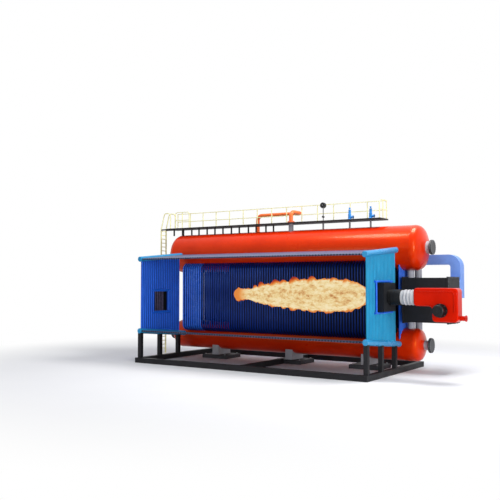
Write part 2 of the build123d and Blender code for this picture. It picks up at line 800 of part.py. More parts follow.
# Guard rail on the far edge, with an end rail and a short near gate
rail_top = deck_top + rail_height
far_rail_y = drum_y + deck_width / 2 - rail_inset
near_rail_y = drum_y - deck_width / 2 + rail_inset
rail_start_x = deck_start_x + rail_inset
rail_end_x = deck_end_x - rail_inset
rail_post_count = int((rail_end_x - rail_start_x - rail_post_pitch / 2) // rail_post_pitch) + 1
with BuildPart() as side_rail:
    for bar_z in (rail_top, deck_top + rail_middle):
        with Locations(((rail_start_x + rail_end_x) / 2, far_rail_y, bar_z - rail_bar / 2)):
            Box(rail_end_x - rail_start_x, rail_bar, rail_bar)
    for index in range(rail_post_count):
        post_x = rail_start_x + rail_bar / 2 + index * rail_post_pitch
        with Locations((post_x, far_rail_y, deck_top + rail_height / 2)):
            Box(rail_bar, rail_bar, rail_height)
save(side_rail, "side_rail")

end_rail_far_y = far_rail_y - rail_bar
with BuildPart() as end_rail:
    end_rail_x = rail_end_x - rail_bar / 2
    end_rail_y = (near_rail_y + end_rail_far_y) / 2
    with BuildLine() as hoop:
        FilletPolyline(
            (end_rail_x, near_rail_y, deck_top),
            (end_rail_x, near_rail_y, rail_top - rail_bar / 2),
            (end_rail_x, end_rail_far_y, rail_top - rail_bar / 2),
            (end_rail_x, end_rail_far_y, deck_top),
            radius=end_rail_corner,
        )
    with BuildSketch(Plane((end_rail_x, near_rail_y, deck_top))):
        Rectangle(rail_bar, rail_bar)
    sweep(path=hoop.line)
    with Locations((end_rail_x, end_rail_y, deck_top + rail_height / 2)):
        Box(rail_bar, rail_bar, rail_height)
    with Locations((end_rail_x, end_rail_y, deck_top + rail_middle - rail_bar / 2)):
        Box(rail_bar, end_rail_far_y - near_rail_y, rail_bar)
save(end_rail, "end_rail")

gate_start_x = deck_start_x + side_gate_start
with BuildPart() as near_gate:
    gate_end_x = gate_start_x + side_gate_length
    gate_x = gate_start_x + side_gate_length / 2
    with BuildLine() as hoop:
        FilletPolyline(
            (gate_start_x, near_rail_y, deck_top),
            (gate_start_x, near_rail_y, rail_top - rail_bar / 2),
            (gate_end_x, near_rail_y, rail_top - rail_bar / 2),
            (gate_end_x, near_rail_y, deck_top),
            radius=end_rail_corner,
        )
    with BuildSketch(Plane((gate_start_x, near_rail_y, deck_top))):
        Rectangle(rail_bar, rail_bar)
    sweep(path=hoop.line)
    with Locations((gate_x, near_rail_y, deck_top + rail_height / 2)):
        Box(rail_bar, rail_bar, rail_height)
    with Locations((gate_x, near_rail_y, deck_top + rail_middle - rail_bar / 2)):
        Box(side_gate_length, rail_bar, rail_bar)
save(near_gate, "near_gate")

# Ladder with its arms and hand rails to the catwalk
stile_places = (ladder_y - ladder_width / 2, ladder_y + ladder_width / 2)
with BuildPart() as ladder:
    for y in stile_places:
        with Locations((ladder_x, y, deck_top / 2)):
            Box(stile_width, stile_width, deck_top)
    for index in range(rung_count):
        with Locations((ladder_x, ladder_y, rung_first + index * rung_pitch)):
            Box(2 * rung_radius, ladder_width, 2 * rung_radius)
save(ladder, "ladder")

with BuildPart() as ladder_arms:
    arm_start_x = ladder_x + stile_width / 2
    for y in stile_places:
        with Locations(((arm_start_x + deck_start_x) / 2, y, deck_top - deck_thickness / 2)):
            Box(deck_start_x - arm_start_x, stile_width, deck_thickness)
save(ladder_arms, "ladder_arms")

with BuildPart() as hand_rails:
    for y in stile_places:
        with BuildLine() as hand_rail:
            FilletPolyline(
                (ladder_x, y, deck_top),
                (ladder_x + hand_rail_lean, y, rail_top),
                (deck_start_x + hand_rail_inset, y, rail_top),
                (deck_start_x + hand_rail_inset, y, deck_top),
                radius=hand_rail_bend,
            )
        start_way = Vector(hand_rail_lean, 0, rail_height)
        with BuildSketch(Plane((ladder_x, y, deck_top), x_dir=(0, 1, 0), z_dir=start_way)):
            Circle(hand_rail_radius)
        sweep(path=hand_rail.line)
    with Locations((0, 0, deck_top / 2)):
        Box(3 * base_length, 3 * base_width, deck_top, mode=Mode.SUBTRACT)
save(hand_rails, "hand_rails")

# Steam pipe from the far side of the drum, over the catwalk to its near stub
with BuildPart() as steam_pipe:
    with BuildLine() as steam_route:
        FilletPolyline(
            (steam_far_x, steam_far_y, upper_drum_z),
            (steam_far_x, steam_far_y, steam_z),
            (steam_near_x, steam_far_y, steam_z),
            (steam_near_x, steam_near_y, steam_z),
            (steam_near_x, steam_near_y, deck_top),
            radius=steam_bend,
        )
    with BuildSketch(Plane((steam_far_x, steam_far_y, upper_drum_z))):
        Circle(steam_radius)
    sweep(path=steam_route.line)
    with BuildSketch(Plane((steam_near_x, steam_near_y, deck_top))):
        Circle(steam_flange_radius)
    extrude(amount=steam_flange_thickness)
    drum_cylinder(upper_drum_z, upper_drum_radius + seat)
save(steam_pipe, "steam_pipe")

with BuildPart() as steam_stub:
    with BuildSketch(Plane((steam_near_x, steam_near_y, upper_drum_z))):
        Circle(stop_valve_radius)
    extrude(amount=deck_top - upper_drum_z)
    drum_cylinder(upper_drum_z, upper_drum_radius + seat)
save(steam_stub, "steam_stub")

# Stems, safety valves and pressure gauge along the top of the drum
with BuildPart() as fitting_stems:
    for x in fitting_places:
        with BuildSketch(Plane((x, drum_y, upper_drum_z))):
            Circle(valve_stem_radius)
        extrude(amount=deck_top - upper_drum_z)
    drum_cylinder(upper_drum_z, upper_drum_radius + seat)
save(fitting_stems, "fitting_stems")

with BuildPart() as safety_valves:
    for x in valve_places:
        with BuildSketch(Plane((x, drum_y, deck_top), x_dir=(1, 0, 0), z_dir=(0, -1, 0))):
            with BuildLine():
                Polyline(
                    (0, 0),
                    (valve_foot_radius, 0),
                    (valve_foot_radius, valve_foot_thickness),
                    (valve_body_radius, 2 * valve_foot_thickness),
                    (valve_body_radius, 0.45 * valve_height),
                    (valve_bonnet_radius, 0.5 * valve_height),
                    (valve_bonnet_radius, 0.78 * valve_height),
                    (valve_cap_radius, 0.82 * valve_height),
                    (valve_cap_radius, valve_height),
                    (0, valve_height),
                    close=True,
                )
            make_face()
        revolve(axis=Axis((x, drum_y, deck_top), (0, 0, 1)))
        outlet = Plane((x, drum_y, deck_top + valve_outlet_height), x_dir=(0, 1, 0), z_dir=(1, 0, 0))
        with BuildSketch(outlet):
            Circle(valve_outlet_radius)
        extrude(amount=valve_outlet_reach)
        with BuildSketch(outlet.offset(valve_outlet_reach)):
            Circle(valve_outlet_radius + valve_outlet_rim)
        extrude(amount=valve_outlet_rim)
save(safety_valves, "safety_valves")

with BuildPart() as pressure_gauge:
    with BuildSketch(Plane((gauge_x, drum_y, deck_top))):
        Circle(gauge_pipe_radius)
    extrude(amount=gauge_z - deck_top)
    with Locations(Location((gauge_x, drum_y, gauge_cock_z), (90, 0, 0))):
        Cylinder(gauge_cock_radius, gauge_cock_length)
    with Locations(Location((gauge_x, drum_y, gauge_z), (90, 0, 0))):
        Cylinder(gauge_radius, gauge_depth)
save(pressure_gauge, "pressure_gauge")
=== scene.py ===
"""Looks of a double-drum water-tube boiler with an open furnace side.

Round tubes, tube mouths, bolts, weld beads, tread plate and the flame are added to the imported
frame, and every surface gets its paint. All sizes are in metres, in the part's own frame.
"""
import json
import math

import bmesh
import bpy
from mathutils import Matrix, Vector, noise


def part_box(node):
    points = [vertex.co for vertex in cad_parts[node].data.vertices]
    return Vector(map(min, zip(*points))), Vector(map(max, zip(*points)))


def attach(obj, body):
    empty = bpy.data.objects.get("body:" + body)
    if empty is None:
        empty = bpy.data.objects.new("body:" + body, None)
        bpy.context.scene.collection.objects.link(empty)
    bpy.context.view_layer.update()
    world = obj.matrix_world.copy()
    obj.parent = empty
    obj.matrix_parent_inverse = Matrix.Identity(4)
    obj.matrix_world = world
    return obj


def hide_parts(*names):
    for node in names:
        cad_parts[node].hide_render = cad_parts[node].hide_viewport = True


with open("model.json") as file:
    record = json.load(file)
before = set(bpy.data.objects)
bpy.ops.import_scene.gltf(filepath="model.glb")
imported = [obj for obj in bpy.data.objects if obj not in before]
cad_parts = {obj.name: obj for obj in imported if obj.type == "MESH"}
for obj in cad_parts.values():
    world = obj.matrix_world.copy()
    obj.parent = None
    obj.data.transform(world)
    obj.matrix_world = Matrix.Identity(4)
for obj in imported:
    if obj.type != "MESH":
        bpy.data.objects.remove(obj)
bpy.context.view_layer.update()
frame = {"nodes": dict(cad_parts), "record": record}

# Sizes shared with the part's source
DRUM_Y = 0.89
DRUM_HALF_LENGTH = 4.89
UPPER_DRUM_Z, UPPER_DRUM_RADIUS = 4.05, 0.75
LOWER_DRUM_Z, LOWER_DRUM_RADIUS = 0.87, 0.535
TUBE_RADIUS = 0.03
TUBE_PITCH = 0.105
WALL_FIRST_TUBE_Y = -2.1
FIN_THICKNESS = 0.008
FURNACE_NEAR_Y = -2.234
ROOF_NEAR_Z, FLOOR_NEAR_Z = 3.75, 1.143
SLOPE = math.radians(5)
PANEL_TUBES = 83
GAS_PASSAGE_START, GAS_PASSAGE_TUBES = 9, 12
BANK_WALL_OFFSET = 0.79
UPPER_ENTRY, LOWER_ENTRY = math.radians(35), math.radians(20)
BANK_ROW_OFFSETS = (-0.345, -0.115, 0.115, 0.345)
BANK_TUBES, BANK_PITCH = 42, 0.21
BURNER_Y, BURNER_Z = -0.98, 2.46
DECK_TOP = 5.08
SADDLE_PLACES = (-3.04, 0.23, 3.2)
PAD_HEIGHT = 0.14
FITTING_PLACES = (0.22, 1.44, 2.48, 3.27)
STEAM_FLANGE_SPOT = (0.22, 0.7, 5.12)
MOTOR_RADIUS, MOTOR_FLANGE = 0.17, 0.06
GAS_FLANGE = 0.028
REAR_BOX_WALL, REAR_BARS = 0.06, 6
VALVE_PLACES, VALVE_CAP_Z = FITTING_PLACES[2:], 5.424
VALVE_OUTLET_REACH, VALVE_OUTLET_Z = 0.138, 5.175
GAUGE_X, GAUGE_Z = FITTING_PLACES[1], 5.65
NECK_RADII = {"upper": 0.205, "lower": 0.153}
# Where a manhole's paint goes from light to dark: across the flange's edge and along to the cover
MANHOLE_RIM, MANHOLE_COVER_X = (0.216, 0.22), (5.368, 5.372)

# Sizes of what is added here
TUBE_SIDES = 16
TUBE_WALL = 0.005
FIN_WIDTH = TUBE_PITCH - 2 * TUBE_RADIUS + 2 * TUBE_WALL
MOUTH_DEPTH = 0.16
ROOF_TUBE_LENGTH, FLOOR_TUBE_LENGTH = 2.43, 2.64
KNEE_RADIUS = 0.17
KNEE_STEPS = 6
SUNK = 0.03
CROWN_RATIO = 1.8
# Where the painted shade in a groove starts and is full, from a tube's side
GROOVE_INSIDE, GROOVE_OUTSIDE = 0.005, 0.003
# Washer's radius and the chamfer of a bolt's head, as shares of the head's own sizes
WASHER_RATIO, CHAMFER_DROP, CHAMFER_RATIO = 0.62, 0.15, 0.86
JOINT_RADII, JOINT_DEPTHS = (0.19, 0.236), (-0.041, -0.029)
PAD_BOLT_SPREAD = (0.9, 0.8)
MOTOR_FIN_DEPTH, MOTOR_FIN_THICKNESS, MOTOR_FIN_SHIFT = 0.02, 0.006, 0.006
MOTOR_FIN_SHORTER, MOTOR_FIN_BACK = 0.06, 0.005
GRILLE_RADII, GRILLE_WIRE, GRILLE_HEIGHTS = (0.03, 0.055, 0.08, 0.105, 0.13), 0.004, (-0.002, 0.005)
BEAD_ROOT, BEAD_STEPS, BEAD_SIDES = 0.004, 6, 96
TREAD_PITCH, TREAD_MARGIN = 0.075, 0.16
LOZENGE_FOOT, LOZENGE_CROWN, LOZENGE_HEIGHT = (0.019, 0.006), (0.011, 0.003), 0.003
BAR_SLEEVE_RADII = (0.016, 0.0195)
SWAGE_PLACES = (0.3, 0.55, 0.8)
# Distance of the cover's bead from the housing's rear, front, top and lower edges, and its bend
COVER_REAR, COVER_FRONT, COVER_TOP, COVER_FOOT, COVER_BEND = 0.12, 0.1, 0.1, 0.3, 0.12
# Outlines as (radius, height)
NUT_OUTLINE = (
    (0.028, -0.014), (0.047, -0.014), (0.051, -0.009), (0.051, 0.009), (0.047, 0.014), (0.028, 0.014),
)
OUTLET_OUTLINE = ((0.034, -0.002), (0.034, 0.0015), (0.03, 0.001), (0, 0.0005))
BEZEL_OUTLINE = ((0.088, -0.004), (0.103, -0.004), (0.103, 0.006), (0.098, 0.01), (0.092, 0.008))
HUB_OUTLINE = ((0.009, -0.002), (0.009, 0.004), (0.006, 0.006), (0, 0.006))
# Ring of the dial's marks, and the count and length of its short and long marks
DIAL_RADIUS, DIAL_MARKS = 0.084, ((60, 0.006), (12, 0.014))
MARK_WIDTH, MARK_HEIGHT = 0.0015, 0.002
NEEDLE_SIZE, NEEDLE_SHIFT, NEEDLE_TURN = (0.09, 0.003, 0.0015), 0.025, math.radians(35)


def linear(hex_colour):
    """Linear colour of an sRGB hex value."""
    parts = [int(hex_colour[i:i + 2], 16) / 255 for i in (1, 3, 5)]
    return [c / 12.92 if c <= 0.04045 else ((c + 0.055) / 1.055) ** 2.4 for c in parts] + [1.0]


def add_node(tree, kind, settings=(), inputs=()):
    """Add a node to a tree, set its properties and fill its inputs with values or outputs."""
    node = tree.nodes.new(kind)
    for name, value in dict(settings).items():
        setattr(node, name, value)
    for key, value in dict(inputs).items():
        if isinstance(value, bpy.types.NodeSocket):
            tree.links.new(value, node.inputs[key])
        else:
            node.inputs[key].default_value = value
    return node


def new_material(name):
    """An empty node material: its tree, its shader and the Object coordinates."""
    material = bpy.data.materials.new(name)
    material.use_nodes = True
    tree = material.node_tree
    tree.nodes.clear()
    shader = add_node(tree, "ShaderNodeBsdfPrincipled")
    add_node(tree, "ShaderNodeOutputMaterial", inputs={"Surface": shader.outputs["BSDF"]})
    coordinates = add_node(tree, "ShaderNodeTexCoord")
    return material, tree, shader, coordinates.outputs["Object"]


def painted_steel(
    name, colour, shade, roughness, coat=0.0, gloss=0.25, tint="#ffffff", cloud_mm=420, peel_mm=9, peel=0.05,
    painted_groove_shade=None, groove_axis="Y", first_tube=WALL_FIRST_TUBE_Y,
):
    """Sprayed paint on steel: slow clouds of tone, a finer soiling and an orange-peel skin.

    A groove colour is painted shade on the fins between upright tubes that stand in a row along an axis.
    """
    material, tree, shader, place = new_material(name)
    cloud = add_node(
        tree, "ShaderNodeTexNoise",
        inputs={"Vector": place, "Scale": 1000 / cloud_mm, "Detail": 5.0, "Roughness": 0.6},
    )
    soil = add_node(
        tree, "ShaderNodeTexNoise", inputs={"Vector": place, "Scale": 7000 / cloud_mm, "Detail": 3.0}
    )
    both = add_node(
        tree, "ShaderNodeMath", {"operation": "MULTIPLY_ADD"},
        {0: soil.outputs["Fac"], 1: 0.35, 2: cloud.outputs["Fac"]},
    )
    amount = add_node(
        tree, "ShaderNodeMapRange", inputs={"Value": both.outputs[0], "From Min": 0.5, "From Max": 0.9}
    )
    tone = add_node(
        tree, "ShaderNodeMix", {"data_type": "RGBA"},
        {"Factor": amount.outputs["Result"], 6: linear(colour), 7: linear(shade)},
    )
    # Painted shade: the groove colour darkens the fins between the tubes
    if painted_groove_shade:
        axes = add_node(tree, "ShaderNodeSeparateXYZ", inputs={0: place})
        along = add_node(
            tree, "ShaderNodeMath", {"operation": "SUBTRACT"}, {0: axes.outputs[groove_axis], 1: first_tube}
        )
        between = add_node(
            tree, "ShaderNodeMath", {"operation": "PINGPONG"}, {0: along.outputs[0], 1: TUBE_PITCH / 2}
        )
        fin = add_node(
            tree, "ShaderNodeMapRange",
            inputs={
                "Value": between.outputs[0],
                "From Min": TUBE_RADIUS - GROOVE_INSIDE, "From Max": TUBE_RADIUS + GROOVE_OUTSIDE,
            },
        )
        tone = add_node(
            tree, "ShaderNodeMix", {"data_type": "RGBA"},
            {"Factor": fin.outputs["Result"], 6: tone.outputs[2], 7: linear(painted_groove_shade)},
        )
    dullness = add_node(
        tree, "ShaderNodeMapRange",
        inputs={"Value": both.outputs[0], "From Min": 0.4, "From Max": 1.0,
                "To Min": roughness - 0.05, "To Max": roughness + 0.08},
    )
    skin = add_node(
        tree, "ShaderNodeTexNoise", inputs={"Vector": place, "Scale": 1000 / peel_mm, "Detail": 2.0}
    )
    bump = add_node(
        tree, "ShaderNodeBump", inputs={"Height": skin.outputs["Fac"], "Strength": peel, "Distance": 0.002}
    )
    tree.links.new(tone.outputs[2], shader.inputs["Base Color"])
    tree.links.new(dullness.outputs["Result"], shader.inputs["Roughness"])
    tree.links.new(bump.outputs["Normal"], shader.inputs["Normal"])
    shader.inputs["Specular IOR Level"].default_value = gloss
    shader.inputs["Specular Tint"].default_value = linear(tint)
    shader.inputs["Coat Weight"].default_value = coat
    shader.inputs["Coat Roughness"].default_value = 0.06
    shader.inputs["Coat IOR"].default_value = 1.2
    return material


def flange_paint():
    """Silver-grey paint on the manholes: light on the turned necks, dark on the flanges and covers."""
    material, tree, shader, place = new_material("silver_grey_manhole_paint")
    axes = add_node(tree, "ShaderNodeSeparateXYZ", inputs={0: place})
    across = add_node(tree, "ShaderNodeMath", {"operation": "SUBTRACT"}, {0: axes.outputs["Y"], 1: DRUM_Y})
    height = add_node(
        tree, "ShaderNodeMath", {"operation": "SUBTRACT"},
        {0: axes.outputs["Z"], 1: (UPPER_DRUM_Z + LOWER_DRUM_Z) / 2},
    )
    height = add_node(tree, "ShaderNodeMath", {"operation": "ABSOLUTE"}, {0: height.outputs[0]})
    height = add_node(
        tree, "ShaderNodeMath", {"operation": "SUBTRACT"},
        {0: height.outputs[0], 1: (UPPER_DRUM_Z - LOWER_DRUM_Z) / 2},
    )
    spoke = add_node(tree, "ShaderNodeCombineXYZ", inputs={"Y": across.outputs[0], "Z": height.outputs[0]})
    reach = add_node(tree, "ShaderNodeVectorMath", {"operation": "LENGTH"}, {0: spoke.outputs[0]})
    rim = add_node(
        tree, "ShaderNodeMapRange",
        inputs={"Value": reach.outputs["Value"], "From Min": MANHOLE_RIM[0], "From Max": MANHOLE_RIM[1]},
    )
    along = add_node(tree, "ShaderNodeMath", {"operation": "ABSOLUTE"}, {0: axes.outputs["X"]})
    cover = add_node(
        tree, "ShaderNodeMapRange",
        inputs={"Value": along.outputs[0], "From Min": MANHOLE_COVER_X[0], "From Max": MANHOLE_COVER_X[1]},
    )
    dark = add_node(
        tree, "ShaderNodeMath", {"operation": "MAXIMUM"},
        {0: rim.outputs["Result"], 1: cover.outputs["Result"]},
    )
    rub = add_node(tree, "ShaderNodeTexNoise", inputs={"Vector": place, "Scale": 1000 / 40, "Detail": 4.0})
    bright = add_node(
        tree, "ShaderNodeMix", {"data_type": "RGBA"},
        {"Factor": rub.outputs["Fac"], 6: linear("#b9bac0"), 7: linear("#9a9ba2")},
    )
    tone = add_node(
        tree, "ShaderNodeMix", {"data_type": "RGBA"},
        {"Factor": dark.outputs[0], 6: bright.outputs[2], 7: linear("#1f2023")},
    )
    tree.links.new(tone.outputs[2], shader.inputs["Base Color"])
    shader.inputs["Roughness"].default_value = 0.36
    return material


# One paint for each of the record's slots, with what the real finish gives the eye
finishes = {
    # Dark two-pack paint on the rolled beams: nearly black, a soft sheen
    "frame_charcoal": painted_steel("charcoal_two_pack_paint", "#212124", "#18181a", 0.5, gloss=0.15),
    # Grey primer on the plate saddles, flat and a little dusty
    "saddle_grey": painted_steel("grey_saddle_primer", "#b4b3b9", "#a09fa5", 0.55),
    # The same primer gone dark on the pads, dull all over
    "pad_grey": painted_steel("dark_grey_pad_primer", "#47474b", "#3a3a3e", 0.6, gloss=0.15),
    # Red-orange alkyd enamel on rolled plate: deep gloss with soft long reflections
    "drum_red": painted_steel(
        "red_orange_drum_enamel", "#d82c03", "#ca2402", 0.3,
        coat=0.45, gloss=0.5, tint="#ff9c34", cloud_mm=900, peel_mm=14, peel=0.015,
    ),
    # Silver-grey paint: pale turned necks behind dark flanges and covers
    "manhole_grey": flange_paint(),
    # Light blue enamel on the header pipes: a clear line of light along each pipe
    "header_cyan": painted_steel("cyan_header_enamel", "#2a8fc2", "#2482b4", 0.28, coat=0.12),
    # Light blue enamel on the front wall: satin tubes, with painted shade on the fins between them
    "wall_blue": painted_steel(
        "light_blue_wall_enamel", "#1a98c4", "#158ab6", 0.34, gloss=0.2, painted_groove_shade="#0e678f"
    ),
    # Royal blue enamel on the rear wall: strong colour, satin, with painted shade on the fins
    "rear_wall_blue": painted_steel(
        "royal_blue_wall_enamel", "#2a74f2", "#2468e2", 0.34, gloss=0.2, painted_groove_shade="#163f9c"
    ),
    # Grey-blue paint on the roof and floor tubes, thin and worn towards the steel's grey
    "panel_blue": painted_steel("grey_blue_panel_paint", "#5c6480", "#4f5772", 0.36),
    # Deep blue enamel on the tubes of the bank: dark, with narrow blue reflections
    "bank_blue": painted_steel(
        "deep_blue_tube_enamel", "#113494", "#0c2a82", 0.2, coat=0.1, gloss=0.9, tint="#7aa4ff"
    ),
    # Pale grey paint on the downcomers, smooth and even
    "downcomer_grey": painted_steel("pale_grey_pipe_paint", "#b3b5be", "#a0a2ac", 0.4),
    # Heat-resisting black on the flue gas box, dull and slightly brown
    "flue_black": painted_steel("heat_resisting_black", "#232326", "#1b1a1c", 0.5, gloss=0.2),
    # Periwinkle paint on the sheet duct: soft, nearly without reflections
    "duct_blue": painted_steel("periwinkle_duct_paint", "#7498de", "#688cd2", 0.42),
    # Matt black on the casings of the two ports: swallows the light
    "port_black": painted_steel("matt_black_refractory_casing", "#1a1c20", "#131417", 0.55, gloss=0.2),
    # Bright blue enamel on the pipes round the ports: shows as a thin clear line
    "port_pipe_blue": painted_steel("blue_port_pipe_enamel", "#1f6ae0", "#1a5fd0", 0.3, coat=0.1),
    # Satin black on the ribbed sleeve and the fan motor: ribs drawn by small lights
    "burner_black": painted_steel("satin_black_motor_paint", "#131416", "#0c0d0f", 0.42),
    # Pale grey paint on the blast tube, light enough to show its swages
    "burner_grey": painted_steel("pale_grey_blast_tube_paint", "#b6b6b8", "#a8a8ac", 0.35),
    # Red gloss powder coat on the cast burner housing: full colour, fine orange peel
    "burner_red": painted_steel(
        "red_burner_powder_coat", "#c81802", "#bc1402", 0.3,
        coat=0.3, gloss=0.2, tint="#ff6a40", cloud_mm=500, peel_mm=6, peel=0.03,
    ),
    # Black paint on deck and legs, trodden dull and slightly brown
    "walkway_black": painted_steel("black_walkway_paint", "#262122", "#1b1818", 0.5, gloss=0.2),
    # Pale yellow enamel on rails and ladder: light thin lines against any background
    "rail_yellow": painted_steel("pale_yellow_rail_enamel", "#f7f2bc", "#ece5a4", 0.32, coat=0.1),
    # Orange paint on the steam pipe, paler than the drum below it
    "steam_orange": painted_steel("orange_steam_pipe_paint", "#f2743a", "#e6682e", 0.35, coat=0.1),
    # Grey paint on stubs and stems, dull like a casting
    "fitting_grey": painted_steel("grey_fitting_paint", "#8c8e92", "#7a7c80", 0.42),
    # Blue enamel on the safety valves: small bright reflections on the round bodies
    "valve_blue": painted_steel("blue_valve_enamel", "#2f8cd8", "#267fca", 0.28, coat=0.15),
    # Black enamel on the gauge's case and dial: glossy, with small sharp reflections
    "gauge_black": painted_steel("black_gauge_case_enamel", "#19191b", "#111113", 0.2, coat=0.4),
}
for entry in frame["record"]["subparts"]:
    node = frame["nodes"][entry["node"]]
    node.data.materials.clear()
    node.data.materials.append(finishes[entry["material_slot"]])


def patchy_steel(name, tone, other_tone, patch_mm, detail, roughness, metallic=0.0):
    """Bare or plated steel, clouded in patches of two tones."""
    material, tree, shader, place = new_material(name)
    patch = add_node(
        tree, "ShaderNodeTexNoise", inputs={"Vector": place, "Scale": 1000 / patch_mm, "Detail": detail}
    )
    mixed = add_node(
        tree, "ShaderNodeMix", {"data_type": "RGBA"},
        {"Factor": patch.outputs["Fac"], 6: linear(tone), 7: linear(other_tone)},
    )
    tree.links.new(mixed.outputs[2], shader.inputs["Base Color"])
    shader.inputs["Metallic"].default_value = metallic
    shader.inputs["Roughness"].default_value = roughness
    return material


def flame_glow():
    """Gas flame: cream, mottled with orange and brown along its middle, orange-red where it frays."""
    material, tree, shader, place = new_material("gas_flame_glow")
    stretch = add_node(tree, "ShaderNodeMapping", inputs={"Vector": place, "Scale": (0.6, 1.0, 1.0)})
    mottle = add_node(
        tree, "ShaderNodeTexNoise",
        inputs={"Vector": stretch.outputs[0], "Scale": 1000 / 120, "Detail": 6.0, "Roughness": 0.7},
    )
    core = add_node(tree, "ShaderNodeAttribute", {"attribute_name": "core"})
    depth = add_node(
        tree, "ShaderNodeMath", {"operation": "MULTIPLY_ADD"},
        {0: core.outputs["Fac"], 1: -0.12, 2: mottle.outputs["Fac"]},
    )
    fray = add_node(tree, "ShaderNodeAttribute", {"attribute_name": "fray"})
    body = add_node(tree, "ShaderNodeValToRGB", inputs={"Fac": depth.outputs[0]})
    fringe = add_node(tree, "ShaderNodeValToRGB", inputs={"Fac": fray.outputs["Fac"]})
    for ramp, stops in (
        (body, ((0.22, "#b87846"), (0.32, "#e0b276"), (0.42, "#f2d89c"), (0.55, "#fdecc0"))),
        (fringe, ((0.0, "#f6cf86"), (0.35, "#ee9a4a"), (0.7, "#d8642e"), (1.0, "#a83c28"))),
    ):
        while len(ramp.color_ramp.elements) < len(stops):
            ramp.color_ramp.elements.new(0.5)
        for element, (position, colour) in zip(ramp.color_ramp.elements, stops):
            element.position = position
            element.color = linear(colour)
    edge = add_node(
        tree, "ShaderNodeMapRange", inputs={"Value": fray.outputs["Fac"], "From Min": 0.05, "From Max": 0.4}
    )
    tone = add_node(
        tree, "ShaderNodeMix", {"data_type": "RGBA"},
        {"Factor": edge.outputs["Result"], 6: body.outputs["Color"], 7: fringe.outputs["Color"]},
    )
    tree.links.new(tone.outputs[2], shader.inputs["Emission Color"])
    shader.inputs["Emission Strength"].default_value = 0.92
    shader.inputs["Base Color"].default_value = linear("#1a0a04")
    shader.inputs["Roughness"].default_value = 1.0
    shader.inputs["Specular IOR Level"].default_value = 0.0
    return material


# Mill scale inside the tube mouths: a blue-black oxide, rough and unpainted
mill_scale = patchy_steel("blue_black_mill_scale", "#0b0c10", "#1b1a1c", 16, 4.0, roughness=0.7)
# Near-black paint on the fire-side fins and the inner rows of the bank: painted shade between and behind the
# tubes, no gloss
shade_black_paint = painted_steel("painted_shade_black_paint", "#060918", "#030408", 0.6, gloss=0.1, cloud_mm=160)
# Grey fibre jointing between flange and cover, pale at its cut edge
jointing = painted_steel("grey_fibre_jointing", "#c4c2bc", "#aeaca6", 0.8, gloss=0.1, cloud_mm=60)
# Paint gone violet-grey with heat on the bars of the rear port
worn_violet = painted_steel("heat_worn_violet_paint", "#6a6284", "#4c4458", 0.5, gloss=0.2, cloud_mm=90)
# Pale enamel of the dial's marks and needle, light against the black
dial_white = painted_steel("pale_dial_enamel", "#dcdcd6", "#cfcfc8", 0.4, cloud_mm=30)
# Zinc plate on the bolts: a pale grey metal, slightly cloudy
zinc = patchy_steel("zinc_plated_bolt_steel", "#9b9da2", "#7f8186", 11, 3.0, roughness=0.38, metallic=0.85)
glow = flame_glow()


def new_tree(name, inputs):
    """A geometry tree with a seed mesh, the named inputs and a material, and its input node."""
    tree = bpy.data.node_groups.new(name, "GeometryNodeTree")
    tree.interface.new_socket("Geometry", in_out="OUTPUT", socket_type="NodeSocketGeometry")
    for label, kind in (("Seed", "Geometry"), *inputs, ("Material", "Material")):
        tree.interface.new_socket(label, in_out="INPUT", socket_type="NodeSocket" + kind)
    return tree, tree.nodes.new("NodeGroupInput").outputs


def end_tree(tree, sizes, instances):
    """Realize the instances, give them the material and put them out."""
    real = add_node(tree, "GeometryNodeRealizeInstances", inputs={0: instances})
    painted = add_node(
        tree, "GeometryNodeSetMaterial", inputs={"Geometry": real.outputs[0], "Material": sizes["Material"]}
    )
    add_node(tree, "NodeGroupOutput", inputs={0: painted.outputs[0]})
    return tree


def row_tree():
    """Copies of the seed in a straight row."""
    tree, sizes = new_tree("row", (("Count", "Int"), ("Step", "Vector")))
    line = add_node(tree, "GeometryNodeMeshLine", inputs={"Count": sizes["Count"], "Offset": sizes["Step"]})
    copies = add_node(
        tree, "GeometryNodeInstanceOnPoints", inputs={"Points": line.outputs[0], "Instance": sizes["Seed"]}
    )
    return end_tree(tree, sizes, copies.outputs[0])


def ring_tree():
    """Copies of the seed on a circle about Z, each turned to face outwards."""
    tree, sizes = new_tree("ring", (("Count", "Int"), ("Radius", "Float")))
    circle = add_node(
        tree, "GeometryNodeMeshCircle", inputs={"Vertices": sizes["Count"], "Radius": sizes["Radius"]}
    )
    outward = add_node(tree, "GeometryNodeInputPosition")
    turn = add_node(
        tree, "FunctionNodeAlignRotationToVector", {"axis": "X", "pivot_axis": "Z"},
        {"Vector": outward.outputs[0]},
    )
    copies = add_node(
        tree, "GeometryNodeInstanceOnPoints",
        inputs={"Points": circle.outputs[0], "Instance": sizes["Seed"], "Rotation": turn.outputs[0]},
    )
    return end_tree(tree, sizes, copies.outputs[0])


